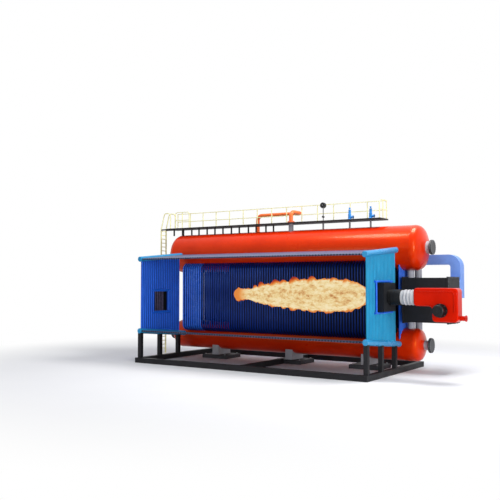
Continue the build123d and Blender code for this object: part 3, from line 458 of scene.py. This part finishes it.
def bent_row_tree(name, section, section_sizes):
    """Bars of one section in a row, each bent along the seed's edges."""
    section_inputs = [(label, "Float") for label in section_sizes]
    tree, sizes = new_tree(name, (("Count", "Int"), ("Pitch", "Float"), ("Bend", "Float"), *section_inputs))
    path = add_node(tree, "GeometryNodeMeshToCurve", inputs={0: sizes["Seed"]})
    bent = add_node(
        tree, "GeometryNodeFilletCurve", {"mode": "POLY"},
        {"Curve": path.outputs[0], "Radius": sizes["Bend"], "Count": KNEE_STEPS},
    )
    outline = add_node(tree, section, inputs={label: sizes[label] for label in section_sizes})
    if "Resolution" in outline.inputs:
        outline.inputs["Resolution"].default_value = TUBE_SIDES
    bar = add_node(
        tree, "GeometryNodeCurveToMesh", inputs={0: bent.outputs[0], 1: outline.outputs[0], "Fill Caps": True}
    )
    step = add_node(tree, "ShaderNodeCombineXYZ", inputs={"X": sizes["Pitch"]})
    places = add_node(
        tree, "GeometryNodeMeshLine", inputs={"Count": sizes["Count"], "Offset": step.outputs[0]}
    )
    copies = add_node(
        tree, "GeometryNodeInstanceOnPoints", inputs={"Points": places.outputs[0], "Instance": bar.outputs[0]}
    )
    return end_tree(tree, sizes, copies.outputs[0])


def grid_tree():
    """Copies of the seed on a flat grid about the origin."""
    kinds = (("Size X", "Float"), ("Size Y", "Float"), ("Vertices X", "Int"), ("Vertices Y", "Int"))
    tree, sizes = new_tree("grid", kinds)
    places = add_node(tree, "GeometryNodeMeshGrid", inputs={label: sizes[label] for label, kind in kinds})
    copies = add_node(
        tree, "GeometryNodeInstanceOnPoints", inputs={"Points": places.outputs[0], "Instance": sizes["Seed"]}
    )
    return end_tree(tree, sizes, copies.outputs[0])


rows, rings, grids = row_tree(), ring_tree(), grid_tree()
bent_tubes = bent_row_tree("bent_tubes", "GeometryNodeCurvePrimitiveCircle", ("Radius",))
bent_fins = bent_row_tree("bent_fins", "GeometryNodeCurvePrimitiveQuadrilateral", ("Width", "Height"))


def grow(tree, seed, material, sizes):
    """Run a geometry tree on a seed mesh and return the result as a plain mesh."""
    carrier = bpy.data.objects.new("carrier", seed)
    bpy.context.scene.collection.objects.link(carrier)
    modifier = carrier.modifiers.new("grow", "NODES")
    modifier.node_group = tree
    sockets = {item.name: item.identifier for item in tree.interface.items_tree if item.in_out == "INPUT"}
    for name, value in {**sizes, "Material": material}.items():
        modifier[sockets[name]] = value
    bpy.context.view_layer.update()
    graph = bpy.context.evaluated_depsgraph_get()
    mesh = bpy.data.meshes.new_from_object(carrier.evaluated_get(graph))
    carrier.modifiers.remove(modifier)
    bpy.data.objects.remove(carrier)
    return mesh


def as_mesh(shape, name):
    """A mesh of a finished shape."""
    mesh = bpy.data.meshes.new(name)
    shape.to_mesh(mesh)
    shape.free()
    return mesh


def add_piece(name, meshes, material, replaced=(), sharp=35):
    """Join meshes to one named piece that rides on the boiler, with smooth faces and sharp edges."""
    shape = bmesh.new()
    for mesh in meshes:
        shape.from_mesh(mesh)
    whole = as_mesh(shape, name)
    whole.materials.clear()
    whole.materials.append(material)
    whole.polygons.foreach_set("material_index", [0] * len(whole.polygons))
    whole.shade_smooth()
    whole.set_sharp_from_angle(angle=math.radians(sharp))
    piece = bpy.data.objects.new(name, whole)
    bpy.context.scene.collection.objects.link(piece)
    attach(piece, "root")
    if replaced:
        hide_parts(*replaced)


def axis_frame(origin, axis, across=(1, 0, 0)):
    """Matrix that puts Z along an axis and X as near as can be to a second direction."""
    along = Vector(axis).normalized()
    side = along.cross(Vector(across)).normalized()
    first = side.cross(along)
    turned = Matrix((first, side, along)).transposed().to_4x4()
    return Matrix.Translation(origin) @ turned


def lathe(profile, sides, place=Matrix()):
    """Profile of (radius, height) points turned about Z; a zero radius closes an end."""
    shape = bmesh.new()
    angles = [math.tau * i / sides for i in range(sides)]
    turned = []
    for radius, height in profile:
        if (radius, height) == profile[0] and turned:
            turned.append(turned[0])
        elif radius == 0:
            turned.append([shape.verts.new((0, 0, height))])
        else:
            ring = [(radius * math.cos(t), radius * math.sin(t), height) for t in angles]
            turned.append([shape.verts.new(spot) for spot in ring])
    for lower, upper in zip(turned, turned[1:]):
        for i in range(sides):
            j = (i + 1) % sides
            corners = [ring[k % len(ring)] for ring, k in ((lower, i), (lower, j), (upper, j), (upper, i))]
            shape.faces.new(dict.fromkeys(corners))
    bmesh.ops.recalc_face_normals(shape, faces=shape.faces)
    shape.transform(place)
    return as_mesh(shape, "lathe")


def hoop(radii, heights, sides, place):
    """A ring of rectangular section between two radii and two heights."""
    (inner, outer), (low, high) = radii, heights
    return lathe([(inner, low), (outer, low), (outer, high), (inner, high), (inner, low)], sides, place)


def block(size, place=Matrix(), edge=0.0):
    """A bar or plate of a size about the origin, its edges eased."""
    shape = bmesh.new()
    bmesh.ops.create_cube(shape, size=1, matrix=Matrix.Diagonal((*size, 1)))
    if edge:
        bmesh.ops.bevel(shape, geom=shape.edges[:], offset=edge, segments=2, profile=0.5, affect="EDGES")
    shape.transform(place)
    return as_mesh(shape, "block")


def moved(mesh, place):
    """The mesh, put in its place."""
    mesh.transform(place)
    return mesh


# Roof and floor: rows of hollow tubes with open mouths along the furnace's open side
panel_first_x = -(PANEL_TUBES - 1) / 2 * TUBE_PITCH
for panel, near_z, rise, length in (
    ("roof", ROOF_NEAR_Z, 1, ROOF_TUBE_LENGTH), ("floor", FLOOR_NEAR_Z, -1, FLOOR_TUBE_LENGTH)
):
    direction = (0, math.cos(SLOPE), rise * math.sin(SLOPE))
    near_end = axis_frame((panel_first_x, FURNACE_NEAR_Y, near_z), direction)
    bore = TUBE_RADIUS - TUBE_WALL
    tube = lathe([(bore, 0), (TUBE_RADIUS, 0), (TUBE_RADIUS, length), (0, length)], TUBE_SIDES, near_end)
    mouth = lathe([(bore, 0), (bore, MOUTH_DEPTH), (0, MOUTH_DEPTH)], TUBE_SIDES, near_end)
    mouth.flip_normals()
    fin = block(
        (FIN_WIDTH, FIN_THICKNESS, length), near_end @ Matrix.Translation((TUBE_PITCH / 2, 0, length / 2))
    )
    step = {"Step": (TUBE_PITCH, 0, 0)}
    tubes = grow(rows, tube, finishes["panel_blue"], {"Count": PANEL_TUBES, **step})
    fins = grow(rows, fin, finishes["panel_blue"], {"Count": PANEL_TUBES - 1, **step})
    add_piece(f"{panel}_tubes", (tubes, fins), finishes["panel_blue"], (f"{panel}_panel",))
    mouths = grow(rows, mouth, mill_scale, {"Count": PANEL_TUBES, **step})
    add_piece(f"{panel}_tube_bores", (mouths,), mill_scale)

# Walls of the bank: tubes bent in to the drums at both ends, with fins between them
lower_reach = (LOWER_DRUM_RADIUS - SUNK) * math.cos(LOWER_ENTRY)
upper_reach = (UPPER_DRUM_RADIUS - SUNK) * math.cos(UPPER_ENTRY)


def bent_route(side, place):
    """Centre line of one bent bar of a bank wall, at a place counted in tubes from the rear."""
    x = panel_first_x + place * TUBE_PITCH
    wall_y = DRUM_Y + side * BANK_WALL_OFFSET
    line = bpy.data.meshes.new("centre_line")
    corners = (
        (x, DRUM_Y + side * lower_reach, LOWER_DRUM_Z + math.tan(LOWER_ENTRY) * lower_reach),
        (x, wall_y, LOWER_DRUM_Z + math.tan(LOWER_ENTRY) * BANK_WALL_OFFSET),
        (x, wall_y, UPPER_DRUM_Z - math.tan(UPPER_ENTRY) * BANK_WALL_OFFSET),
        (x, DRUM_Y + side * upper_reach, UPPER_DRUM_Z - math.tan(UPPER_ENTRY) * upper_reach),
    )
    line.from_pydata(corners, [(0, 1), (1, 2), (2, 3)], [])
    return line


def wall_tubes(side, first, stop, material):
    """Tubes of a bank wall from one place to another."""
    sizes = {"Count": stop - first, "Pitch": TUBE_PITCH, "Bend": KNEE_RADIUS, "Radius": TUBE_RADIUS}
    return grow(bent_tubes, bent_route(side, first), material, sizes)


def wall_fins(side, first, stop, material):
    """Fins between the tubes of a bank wall from one place to another."""
    sizes = {
        "Count": stop - first - 1, "Pitch": TUBE_PITCH, "Bend": KNEE_RADIUS,
        "Width": FIN_WIDTH, "Height": FIN_THICKNESS,
    }
    return grow(bent_fins, bent_route(side, first + 0.5), material, sizes)


# Painted light: the first tubes of the partition get the rear wall's brighter royal blue where the rest stay
# deep blue, with painted shade between them, so each tube shows as a light line
painted_light_royal = painted_steel(
    "royal_blue_painted_light_tube_enamel", "#3a80fa", "#3274ec", 0.26, gloss=0.8, tint="#b4ccff",
    painted_groove_shade="#143c94", groove_axis="X", first_tube=panel_first_x,
)
deep = finishes["bank_blue"]
passage_end = GAS_PASSAGE_START + GAS_PASSAGE_TUBES
rear_tubes = (wall_tubes(-1, 0, GAS_PASSAGE_START, painted_light_royal), wall_fins(-1, 0, GAS_PASSAGE_START, painted_light_royal))
add_piece("partition_rear_tubes", rear_tubes, painted_light_royal)
fire_tubes = wall_tubes(-1, GAS_PASSAGE_START, PANEL_TUBES, deep)
add_piece("partition_wall_tubes", (fire_tubes,), deep, ("partition_wall",))
# Painted shade: the fire-side fins between the partition's tubes are near-black
fire_fins = wall_fins(-1, passage_end, PANEL_TUBES, shade_black_paint)
add_piece("partition_wall_fins", (fire_fins,), shade_black_paint)
outer_tubes = (wall_tubes(1, 0, PANEL_TUBES, deep), wall_fins(1, 0, PANEL_TUBES, deep))
add_piece("outer_wall_tubes", outer_tubes, deep, ("outer_wall",))

# Straight rows of the bank between the drums, painted near-black as painted shade behind the walls
for number, offset in enumerate(BANK_ROW_OFFSETS, start=1):
    foot = LOWER_DRUM_Z + math.sqrt(LOWER_DRUM_RADIUS ** 2 - offset ** 2) - SUNK
    head = UPPER_DRUM_Z - math.sqrt(UPPER_DRUM_RADIUS ** 2 - offset ** 2) + SUNK
    first_x = -(BANK_TUBES - 1) / 2 * BANK_PITCH
    tube = lathe(
        [(0, foot), (TUBE_RADIUS, foot), (TUBE_RADIUS, head), (0, head)], TUBE_SIDES,
        Matrix.Translation((first_x, DRUM_Y + offset, 0)),
    )
    tubes = grow(rows, tube, shade_black_paint, {"Count": BANK_TUBES, "Step": (BANK_PITCH, 0, 0)})
    add_piece(f"bank_row_{number}_tubes", (tubes,), shade_black_paint, (f"bank_row_{number}",))


def hex_bolt(across, head, washer=0.003):
    """A hexagon head on its washer, standing on Z = 0, a chamfer round its top."""
    corner, washer_radius = across / math.sqrt(3), across * WASHER_RATIO
    disc = lathe([(washer_radius, 0), (washer_radius, washer), (0, washer)], 12)
    top = washer + head
    shoulder = top - head * CHAMFER_DROP
    crown = lathe([(corner, 0), (corner, shoulder), (corner * CHAMFER_RATIO, top), (0, top)], 6)
    shape = bmesh.new()
    shape.from_mesh(disc)
    shape.from_mesh(crown)
    return as_mesh(shape, "hex_bolt")


def bolt_ring(count, radius, across, head, place):
    """A circle of bolt heads on a face."""
    return moved(grow(rings, hex_bolt(across, head), zinc, {"Count": count, "Radius": radius}), place)


# Bolts of the manhole covers, and the jointing behind each cover
manhole_bolts, manhole_joints = [], []
for drum, drum_z in (("upper", UPPER_DRUM_Z), ("lower", LOWER_DRUM_Z)):
    for end_name, end in (("front", 1), ("rear", -1)):
        low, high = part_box(f"{drum}_{end_name}_manhole")
        face_x = high.x if end > 0 else low.x
        place = axis_frame((face_x, DRUM_Y, drum_z), (end, 0, 0), (0, 0, 1))
        manhole_bolts.append(bolt_ring(20, radius=0.218, across=0.024, head=0.011, place=place))
        manhole_joints.append(hoop(JOINT_RADII, JOINT_DEPTHS, 64, place))
add_piece("manhole_bolts", manhole_bolts, zinc)
add_piece("manhole_joints", manhole_joints, jointing)

# Bolts of the steam flange, the gas inlet and the saddle pads
steam_face = Matrix.Translation(STEAM_FLANGE_SPOT)
steam_bolts = bolt_ring(8, radius=0.104, across=0.024, head=0.012, place=steam_face)
add_piece("steam_flange_bolts", (steam_bolts,), zinc)
low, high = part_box("gas_inlet")
inlet_back = (high.x - GAS_FLANGE, BURNER_Y, (low.z + high.z) / 2)
inlet_face = axis_frame(inlet_back, (-1, 0, 0), (0, 0, 1))
inlet_bolts = bolt_ring(6, radius=0.082, across=0.013, head=0.008, place=inlet_face)
add_piece("gas_inlet_bolts", (inlet_bolts,), zinc)
pad_bolts = []
corner_sizes = {
    "Size X": PAD_BOLT_SPREAD[0], "Size Y": PAD_BOLT_SPREAD[1], "Vertices X": 2, "Vertices Y": 2,
}
for x in SADDLE_PLACES:
    corners = grow(grids, hex_bolt(across=0.05, head=0.03), zinc, corner_sizes)
    pad_bolts.append(moved(corners, Matrix.Translation((x, DRUM_Y, PAD_HEIGHT))))
add_piece("saddle_pad_bolts", pad_bolts, zinc)


def bolt_frame(width, height, columns, lines, place):
    """Bolt heads all round a rectangular flange."""
    sides = []
    for across, up in ((columns, 2), (2, lines)):
        sizes = {"Size X": width, "Size Y": height, "Vertices X": across, "Vertices Y": up}
        sides.append(moved(grow(grids, hex_bolt(across=0.02, head=0.01), zinc, sizes), place))
    return sides


# Bolts round the duct's open flange and the flue box's end plate
low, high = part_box("flue_duct_run")
duct_face = axis_frame((low.x, (low.y + high.y) / 2, (low.z + high.z) / 2), (-1, 0, 0), (0, 1, 0))
duct_bolts = bolt_frame(width=0.46, height=0.395, columns=6, lines=5, place=duct_face)
add_piece("duct_flange_bolts", duct_bolts, zinc)
low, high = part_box("flue_box")
box_face = axis_frame((high.x, (low.y + high.y) / 2, (low.z + high.z) / 2), (1, 0, 0), (0, 1, 0))
box_bolts = bolt_frame(width=1.08, height=1.43, columns=9, lines=12, place=box_face)
add_piece("flue_box_bolts", box_bolts, zinc)

# Cooling fins, end grille and flange bolts of the fan motor
low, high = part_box("burner_motor")
motor_spot = ((low.x + high.x) / 2, high.y - MOTOR_FLANGE, (low.z + high.z) / 2)
motor_length = high.y - low.y - MOTOR_FLANGE
motor_face = axis_frame(motor_spot, (0, -1, 0))
fin_place = Matrix.Translation((MOTOR_FIN_SHIFT, 0, motor_length / 2 - MOTOR_FIN_BACK))
fin_size = (MOTOR_FIN_DEPTH, MOTOR_FIN_THICKNESS, motor_length - MOTOR_FIN_SHORTER)
fin_bar = block(fin_size, fin_place, edge=0.001)
motor_fins = grow(rings, fin_bar, finishes["burner_black"], {"Count": 32, "Radius": MOTOR_RADIUS})
grille = [moved(motor_fins, motor_face)]
grille_face = motor_face @ Matrix.Translation((0, 0, motor_length))
for ring_radius in GRILLE_RADII:
    wire = (ring_radius - GRILLE_WIRE, ring_radius + GRILLE_WIRE)
    grille.append(hoop(wire, GRILLE_HEIGHTS, 48, grille_face))
add_piece("motor_fins_and_grille", grille, finishes["burner_black"])
motor_bolts = bolt_ring(8, radius=0.192, across=0.016, head=0.009, place=motor_face)
add_piece("motor_flange_bolts", (motor_bolts,), zinc)


def round_bead(radius, width, height, place):
    """A low round bead all round a drum, a neck or a tube, its foot sunk in the plate."""
    half, foot = width / 2, radius - BEAD_ROOT
    arc = [(foot, -half)]
    for i in range(1, BEAD_STEPS):
        share = i / BEAD_STEPS
        arc.append((radius + height * math.sin(math.pi * share), -half + width * share))
    arc += [(foot, half), (foot, -half)]
    return lathe(arc, BEAD_SIDES, place)


# Weld beads where the drums' heads and plates meet
beads = []
for drum, drum_z, radius in (
    ("upper", UPPER_DRUM_Z, UPPER_DRUM_RADIUS), ("lower", LOWER_DRUM_Z, LOWER_DRUM_RADIUS)
):
    for share in (-1, -1 / 3, 1 / 3, 1):
        place = axis_frame((share * DRUM_HALF_LENGTH, DRUM_Y, drum_z), (1, 0, 0), (0, 0, 1))
        beads.append(round_bead(radius, width=0.026, height=0.004, place=place))
    for end_name, end in (("front", 1), ("rear", -1)):
        low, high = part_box(f"{drum}_drum_{end_name}_head")
        dish = NECK_RADII[drum] ** 2 / (2 * CROWN_RATIO * radius)
        root_x = high.x - dish if end > 0 else low.x + dish
        place = axis_frame((root_x, DRUM_Y, drum_z), (end, 0, 0), (0, 0, 1))
        beads.append(round_bead(NECK_RADII[drum], width=0.02, height=0.006, place=place))
add_piece("drum_weld_beads", beads, finishes["drum_red"])


def tread_lozenge():
    """A raised lozenge of chequer plate, rounded over, standing on Z = 0."""
    shape = bmesh.new()
    foot, crown = [
        [shape.verts.new((x, y, z)) for x, y in ((-length, 0), (0, -width), (length, 0), (0, width))]
        for (length, width), z in ((LOZENGE_FOOT, 0), (LOZENGE_CROWN, LOZENGE_HEIGHT))
    ]
    for i in range(4):
        shape.faces.new((foot[i], foot[(i + 1) % 4], crown[(i + 1) % 4], crown[i]))
    shape.faces.new(crown)
    return as_mesh(shape, "tread_lozenge")


# Chequer plate on the deck, in stretches between the fittings that come up through it
low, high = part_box("catwalk_deck")
tread = []
stops = [low.x, *FITTING_PLACES, high.x]
for start_x, end_x in zip(stops, stops[1:]):
    start_x += TREAD_MARGIN
    end_x -= TREAD_MARGIN
    for turn, shift in ((45, 0), (-45, TREAD_PITCH / 2)):
        columns = int((end_x - start_x) / TREAD_PITCH)
        lines = int((high.y - low.y - 2 * TREAD_PITCH) / TREAD_PITCH)
        seed = moved(tread_lozenge(), Matrix.Rotation(math.radians(turn), 4, "Z"))
        sizes = {
            "Size X": (columns - 1) * TREAD_PITCH, "Size Y": (lines - 1) * TREAD_PITCH,
            "Vertices X": columns, "Vertices Y": lines,
        }
        place = Matrix.Translation(((start_x + end_x) / 2 + shift, DRUM_Y + shift, DECK_TOP))
        tread.append(moved(grow(grids, seed, finishes["walkway_black"], sizes), place))
add_piece("deck_tread", tread, finishes["walkway_black"])

# Cap nuts, outlet bores and outlet bolts of the safety valves
caps, outlets, outlet_bolts = [], [], []
for x in VALVE_PLACES:
    cap_place = Matrix.Translation((x, DRUM_Y, VALVE_CAP_Z))
    caps.append(lathe([*NUT_OUTLINE, NUT_OUTLINE[0]], 6, cap_place))
    face = axis_frame((x + VALVE_OUTLET_REACH, DRUM_Y, VALVE_OUTLET_Z), (1, 0, 0), (0, 0, 1))
    outlets.append(lathe(OUTLET_OUTLINE, 32, face))
    outlet_bolts.append(bolt_ring(6, radius=0.048, across=0.011, head=0.006, place=face))
add_piece("valve_cap_nuts", caps, zinc)
add_piece("valve_outlet_bores", outlets, mill_scale)
add_piece("valve_outlet_bolts", outlet_bolts, zinc)

# Heat-worn paint on the bars of the rear port
low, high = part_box("rear_port_box")
bar_x = high.x - (high.x - low.x - REAR_BOX_WALL) / 2
bar_gap = (high.y - low.y - 2 * REAR_BOX_WALL) / (REAR_BARS + 1)
bar_top, bar_foot = high.z - REAR_BOX_WALL, low.z + REAR_BOX_WALL
first_bar = Matrix.Translation((bar_x, low.y + REAR_BOX_WALL + bar_gap, 0))
bar_sleeve = hoop(BAR_SLEEVE_RADII, (bar_foot, bar_top), 20, first_bar)
bars = grow(rows, bar_sleeve, worn_violet, {"Count": REAR_BARS, "Step": (0, bar_gap, 0)})
add_piece("rear_port_bar_sleeves", (bars,), worn_violet)

# Swages round the blast tube
low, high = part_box("blast_tube")
tube_radius = (high.z - low.z) / 2
swages = []
for share in SWAGE_PLACES:
    spot = (low.x + share * (high.x - low.x), BURNER_Y, BURNER_Z)
    place = axis_frame(spot, (1, 0, 0), (0, 0, 1))
    swages.append(round_bead(tube_radius, width=0.07, height=0.012, place=place))
add_piece("blast_tube_swages", swages, finishes["burner_grey"])

# Raised edge of the cover on the burner housing's near side
low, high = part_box("burner_housing")
bead_line = bpy.data.meshes.new("bead_line")
bead_top, bead_front = high.z - COVER_TOP, high.x - COVER_FRONT
bead_corners = (
    (low.x + COVER_REAR, low.y, bead_top), (bead_front, low.y, bead_top),
    (bead_front, low.y, low.z + COVER_FOOT),
)
bead_line.from_pydata(bead_corners, [(0, 1), (1, 2)], [])
bead_sizes = {"Count": 1, "Pitch": 0.0, "Bend": COVER_BEND, "Radius": 0.012}
cover_bead = grow(bent_tubes, bead_line, finishes["burner_red"], bead_sizes)
add_piece("burner_cover_bead", (cover_bead,), finishes["burner_red"])

# Dial of the pressure gauge: bezel, marks all round and a needle with its hub
low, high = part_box("pressure_gauge")
dial = axis_frame((GAUGE_X, low.y, GAUGE_Z), (0, -1, 0), (0, 0, 1))
bezel = lathe([*BEZEL_OUTLINE, BEZEL_OUTLINE[0]], 64, dial)
add_piece("gauge_bezel", (bezel,), finishes["gauge_black"])
marks = []
for count, length in DIAL_MARKS:
    mark_size = (length, MARK_WIDTH, MARK_HEIGHT)
    mark = block(mark_size, Matrix.Translation((-length / 2, 0, 0.0005)), edge=0.0003)
    marks.append(moved(grow(rings, mark, dial_white, {"Count": count, "Radius": DIAL_RADIUS}), dial))
needle = dial @ Matrix.Translation((0, 0, 0.003)) @ Matrix.Rotation(NEEDLE_TURN, 4, "Z")
marks.append(block(NEEDLE_SIZE, needle @ Matrix.Translation((NEEDLE_SHIFT, 0, 0)), edge=0.0005))
marks.append(lathe(HUB_OUTLINE, 24, dial))
add_piece("gauge_marks", marks, dial_white)

# Flame in front of the burner's throat, frayed along its upper and lower edges
FLAME_OUTLINE = (
    (4.02, 0.0), (3.97, 0.17), (3.88, 0.28), (3.65, 0.395), (3.32, 0.467), (2.8, 0.51), (2.03, 0.505),
    (1.37, 0.46), (0.62, 0.37), (0.0, 0.275), (-0.3, 0.205), (-0.55, 0.17), (-0.75, 0.18), (-0.93, 0.22),
    (-1.04, 0.15), (-1.08, 0.0),
)
FLAME_Z = BURNER_Z + 0.03
FLAME_RINGS, FLAME_SIDES = 280, 112
# Share of the height at which the edge starts to fray, and the stretch until it frays fully
EDGE_START, EDGE_SPAN, FRINGE_START = 0.6, 0.38, 0.93
# Half width of the lowest lick, what a lick's height adds to it, and how pointed it is
LICK_FOOT, LICK_SPREAD, LICK_POINT = 0.05, 0.7, 1.4
# Fine threads on the edges and ripples all over, both less where the flame is thin
THREAD_HEIGHT, THREADS_PER_METRE, THREAD_FULL = 0.05, 13, 0.5
RIPPLE_HEIGHT, RIPPLES_PER_METRE = 0.02, 6
THIN_RADIUS = 0.2
# Where the tip starts to redden, and over what length
TIP_START, TIP_LENGTH = -0.35, 0.5
# Lift at which a lick is all orange-red, and how far a lick leans to the rear for its height
FULL_FRAY, LEAN = 0.11, 0.3
# Place along the furnace and height of the licks on the upper and the lower edge
UPPER_LICKS = (
    (-0.55, 0.05), (-0.2, 0.08), (0.06, 0.12), (0.3, 0.06), (0.61, 0.15), (0.95, 0.07), (1.36, 0.15),
    (1.7, 0.06), (2.05, 0.1), (2.45, 0.05), (2.85, 0.07), (3.3, 0.05),
)
LOWER_LICKS = ((0.1, 0.03), (0.53, 0.07), (0.95, 0.04), (1.3, 0.07), (2.05, 0.07), (2.6, 0.05), (3.4, 0.05))


def flame_radius(x):
    """Radius of the flame's smooth outline at a place along the furnace."""
    for (x0, r0), (x1, r1) in zip(FLAME_OUTLINE, FLAME_OUTLINE[1:]):
        if x1 <= x <= x0:
            share = (x0 - x) / (x0 - x1)
            return r0 + (r1 - r0) * share
    return 0.0


def flame_point(x, angle):
    """A point of the flame's surface, how far it frays there and how deep in the core it seems."""
    across, up = math.cos(angle), math.sin(angle)
    radius = flame_radius(x)
    spot = Vector((x, across * radius, up * radius))
    edge = max(0.0, min(1.0, (abs(up) - EDGE_START) / EDGE_SPAN)) ** 2
    tongue = max(
        height * max(0.0, 1 - abs(x - place) / (LICK_FOOT + LICK_SPREAD * height)) ** LICK_POINT
        for place, height in (UPPER_LICKS if up > 0 else LOWER_LICKS)
    )
    thread = noise.noise(Vector((x * THREADS_PER_METRE, up, across)))
    thread = min(1.0, max(0.0, thread / THREAD_FULL))
    lift = edge * (tongue + THREAD_HEIGHT * thread) + RIPPLE_HEIGHT * noise.noise(spot * RIPPLES_PER_METRE)
    lift *= min(1.0, radius / THIN_RADIUS)
    tip = max(0.0, min(1.0, (TIP_START - x) / TIP_LENGTH))
    rim = max(0.0, (abs(up) - FRINGE_START) / (1 - FRINGE_START))
    fray = min(1.0, max(0.5 * rim, lift / FULL_FRAY, 0.45 * tip + 0.4 * rim))
    reach = radius + lift
    return (x - LEAN * lift, BURNER_Y + across * reach, FLAME_Z + up * reach), fray, 1 - abs(up)


def flame():
    """A long closed body whose edges are drawn out in tongues."""
    shape = bmesh.new()
    layers = [shape.verts.layers.float.new(name) for name in ("fray", "core")]
    start, tip = FLAME_OUTLINE[0][0], FLAME_OUTLINE[-1][0]
    turned = []
    for ring in range(1, FLAME_RINGS):
        x = start + (tip - start) * ring / FLAME_RINGS
        line = []
        for i in range(FLAME_SIDES):
            place, *shares = flame_point(x, math.tau * i / FLAME_SIDES)
            vertex = shape.verts.new(place)
            for layer, share in zip(layers, shares):
                vertex[layer] = share
            line.append(vertex)
        turned.append(line)
    for near, far in zip(turned, turned[1:]):
        for i in range(FLAME_SIDES):
            j = (i + 1) % FLAME_SIDES
            shape.faces.new((near[i], near[j], far[j], far[i]))
    for end, line in ((start, turned[0]), (tip, turned[-1])):
        pole = shape.verts.new((end, BURNER_Y, FLAME_Z))
        pole[layers[0]] = 0.6
        for i in range(FLAME_SIDES):
            shape.faces.new((line[i], line[(i + 1) % FLAME_SIDES], pole))
    bmesh.ops.recalc_face_normals(shape, faces=shape.faces)
    return as_mesh(shape, "flame")


add_piece("burner_flame", (flame(),), glow, sharp=180)

# Pale floor that runs out to a white background
FLOOR_REACH = 90
FADE_START, FADE_END = 7.0, 15.0
floor_mesh = bpy.data.meshes.new("studio_floor")
floor_corners = [(x * FLOOR_REACH, y * FLOOR_REACH, 0) for x, y in ((-1, -1), (1, -1), (1, 1), (-1, 1))]
floor_mesh.from_pydata(floor_corners, [], [(0, 1, 2, 3)])
floor_paint, floor_tree, floor_shader, floor_place = new_material("pale_studio_floor")
floor_cloud = add_node(floor_tree, "ShaderNodeTexNoise", inputs={"Vector": floor_place, "Scale": 1000 / 2500})
floor_tone = add_node(
    floor_tree, "ShaderNodeMix", {"data_type": "RGBA"},
    {"Factor": floor_cloud.outputs["Fac"], 6: linear("#f1f1f2"), 7: linear("#ececee")},
)
floor_tree.links.new(floor_tone.outputs[2], floor_shader.inputs["Base Color"])
floor_shader.inputs["Roughness"].default_value = 0.7
floor_shader.inputs["Specular IOR Level"].default_value = 0.1
# Far from the boiler the camera sees the floor run out to plain white
floor_spread = add_node(floor_tree, "ShaderNodeVectorMath", {"operation": "LENGTH"}, {0: floor_place})
floor_fade = add_node(
    floor_tree, "ShaderNodeMapRange", {"interpolation_type": "SMOOTHSTEP"},
    {"Value": floor_spread.outputs["Value"], "From Min": FADE_START, "From Max": FADE_END},
)
floor_rays = add_node(floor_tree, "ShaderNodeLightPath")
floor_seen = add_node(
    floor_tree, "ShaderNodeMath", {"operation": "MULTIPLY"},
    {0: floor_fade.outputs["Result"], 1: floor_rays.outputs["Is Camera Ray"]},
)
floor_white = add_node(floor_tree, "ShaderNodeEmission", inputs={"Color": (1, 1, 1, 1), "Strength": 1.0})
floor_mix = add_node(
    floor_tree, "ShaderNodeMixShader",
    inputs={0: floor_seen.outputs[0], 1: floor_shader.outputs["BSDF"], 2: floor_white.outputs[0]},
)
floor_end = next(node for node in floor_tree.nodes if node.type == "OUTPUT_MATERIAL")
floor_tree.links.new(floor_mix.outputs[0], floor_end.inputs["Surface"])
floor_mesh.materials.append(floor_paint)
floor = bpy.data.objects.new("studio_floor", floor_mesh)
bpy.context.scene.collection.objects.link(floor)

# Sky light on the boiler, while the camera and reflections see plain white
world = bpy.data.worlds.new("studio")
bpy.context.scene.world = world
world.use_nodes = True
sky = world.node_tree
sky.nodes.clear()
rays = add_node(sky, "ShaderNodeLightPath")
shown = rays.outputs["Is Camera Ray"]
for kind in ("Is Glossy Ray", "Is Transmission Ray"):
    either = add_node(sky, "ShaderNodeMath", {"operation": "MAXIMUM"}, {0: shown, 1: rays.outputs[kind]})
    shown = either.outputs[0]
lit = add_node(sky, "ShaderNodeBackground", inputs={"Color": linear("#eef1f8"), "Strength": 0.5})
white = add_node(sky, "ShaderNodeBackground", inputs={"Color": (1, 1, 1, 1), "Strength": 1.0})
mixed = add_node(sky, "ShaderNodeMixShader", inputs={0: shown, 1: lit.outputs[0], 2: white.outputs[0]})
add_node(sky, "ShaderNodeOutputWorld", inputs={"Surface": mixed.outputs[0]})


def soft_box(name, place, aim, size, watts):
    """A large square lamp that points at a spot on the boiler."""
    lamp = bpy.data.lights.new(name, "AREA")
    lamp.shape = "SQUARE"
    lamp.size = size
    lamp.energy = watts
    holder = bpy.data.objects.new(name, lamp)
    holder.location = place
    holder.rotation_euler = (Vector(aim) - Vector(place)).to_track_quat("-Z", "Y").to_euler()
    bpy.context.scene.collection.objects.link(holder)


# Soft light from above and from the front, kept low on the near side
soft_box("overhead_box", (6, 1.5, 14), (1.5, 0.5, 3), 5, 1500)
soft_box("drum_highlight_box", (-1.2, -4, 15), (4, 0.5, 4.3), 3.3, 720)
soft_box("front_box", (19, -9, 8), (2, 0, 2.5), 8, 800)
soft_box("low_front_box", (22, -10, 3), (-2, -1, 2.2), 6, 1500)
soft_box("low_fill_box", (-7, -19, 2.6), (0, 0, 2.2), 5, 320)

# Camera at the fitted viewpoint
FOCAL_PIXELS, FRAME_PIXELS = 713.5, 500
camera_lens = bpy.data.cameras.new("photo_camera")
camera_lens.sensor_width = 36
camera_lens.lens = camera_lens.sensor_width * FOCAL_PIXELS / FRAME_PIXELS
camera_lens.clip_end = 400
camera = bpy.data.objects.new("photo_camera", camera_lens)
camera.location = (13.411, -21.63, 2.96)
camera.rotation_euler = (math.radians(92.476), 0, math.radians(33.871))
bpy.context.scene.collection.objects.link(camera)
bpy.context.scene.camera = camera
bpy.context.scene.view_settings.view_transform = "Standard"
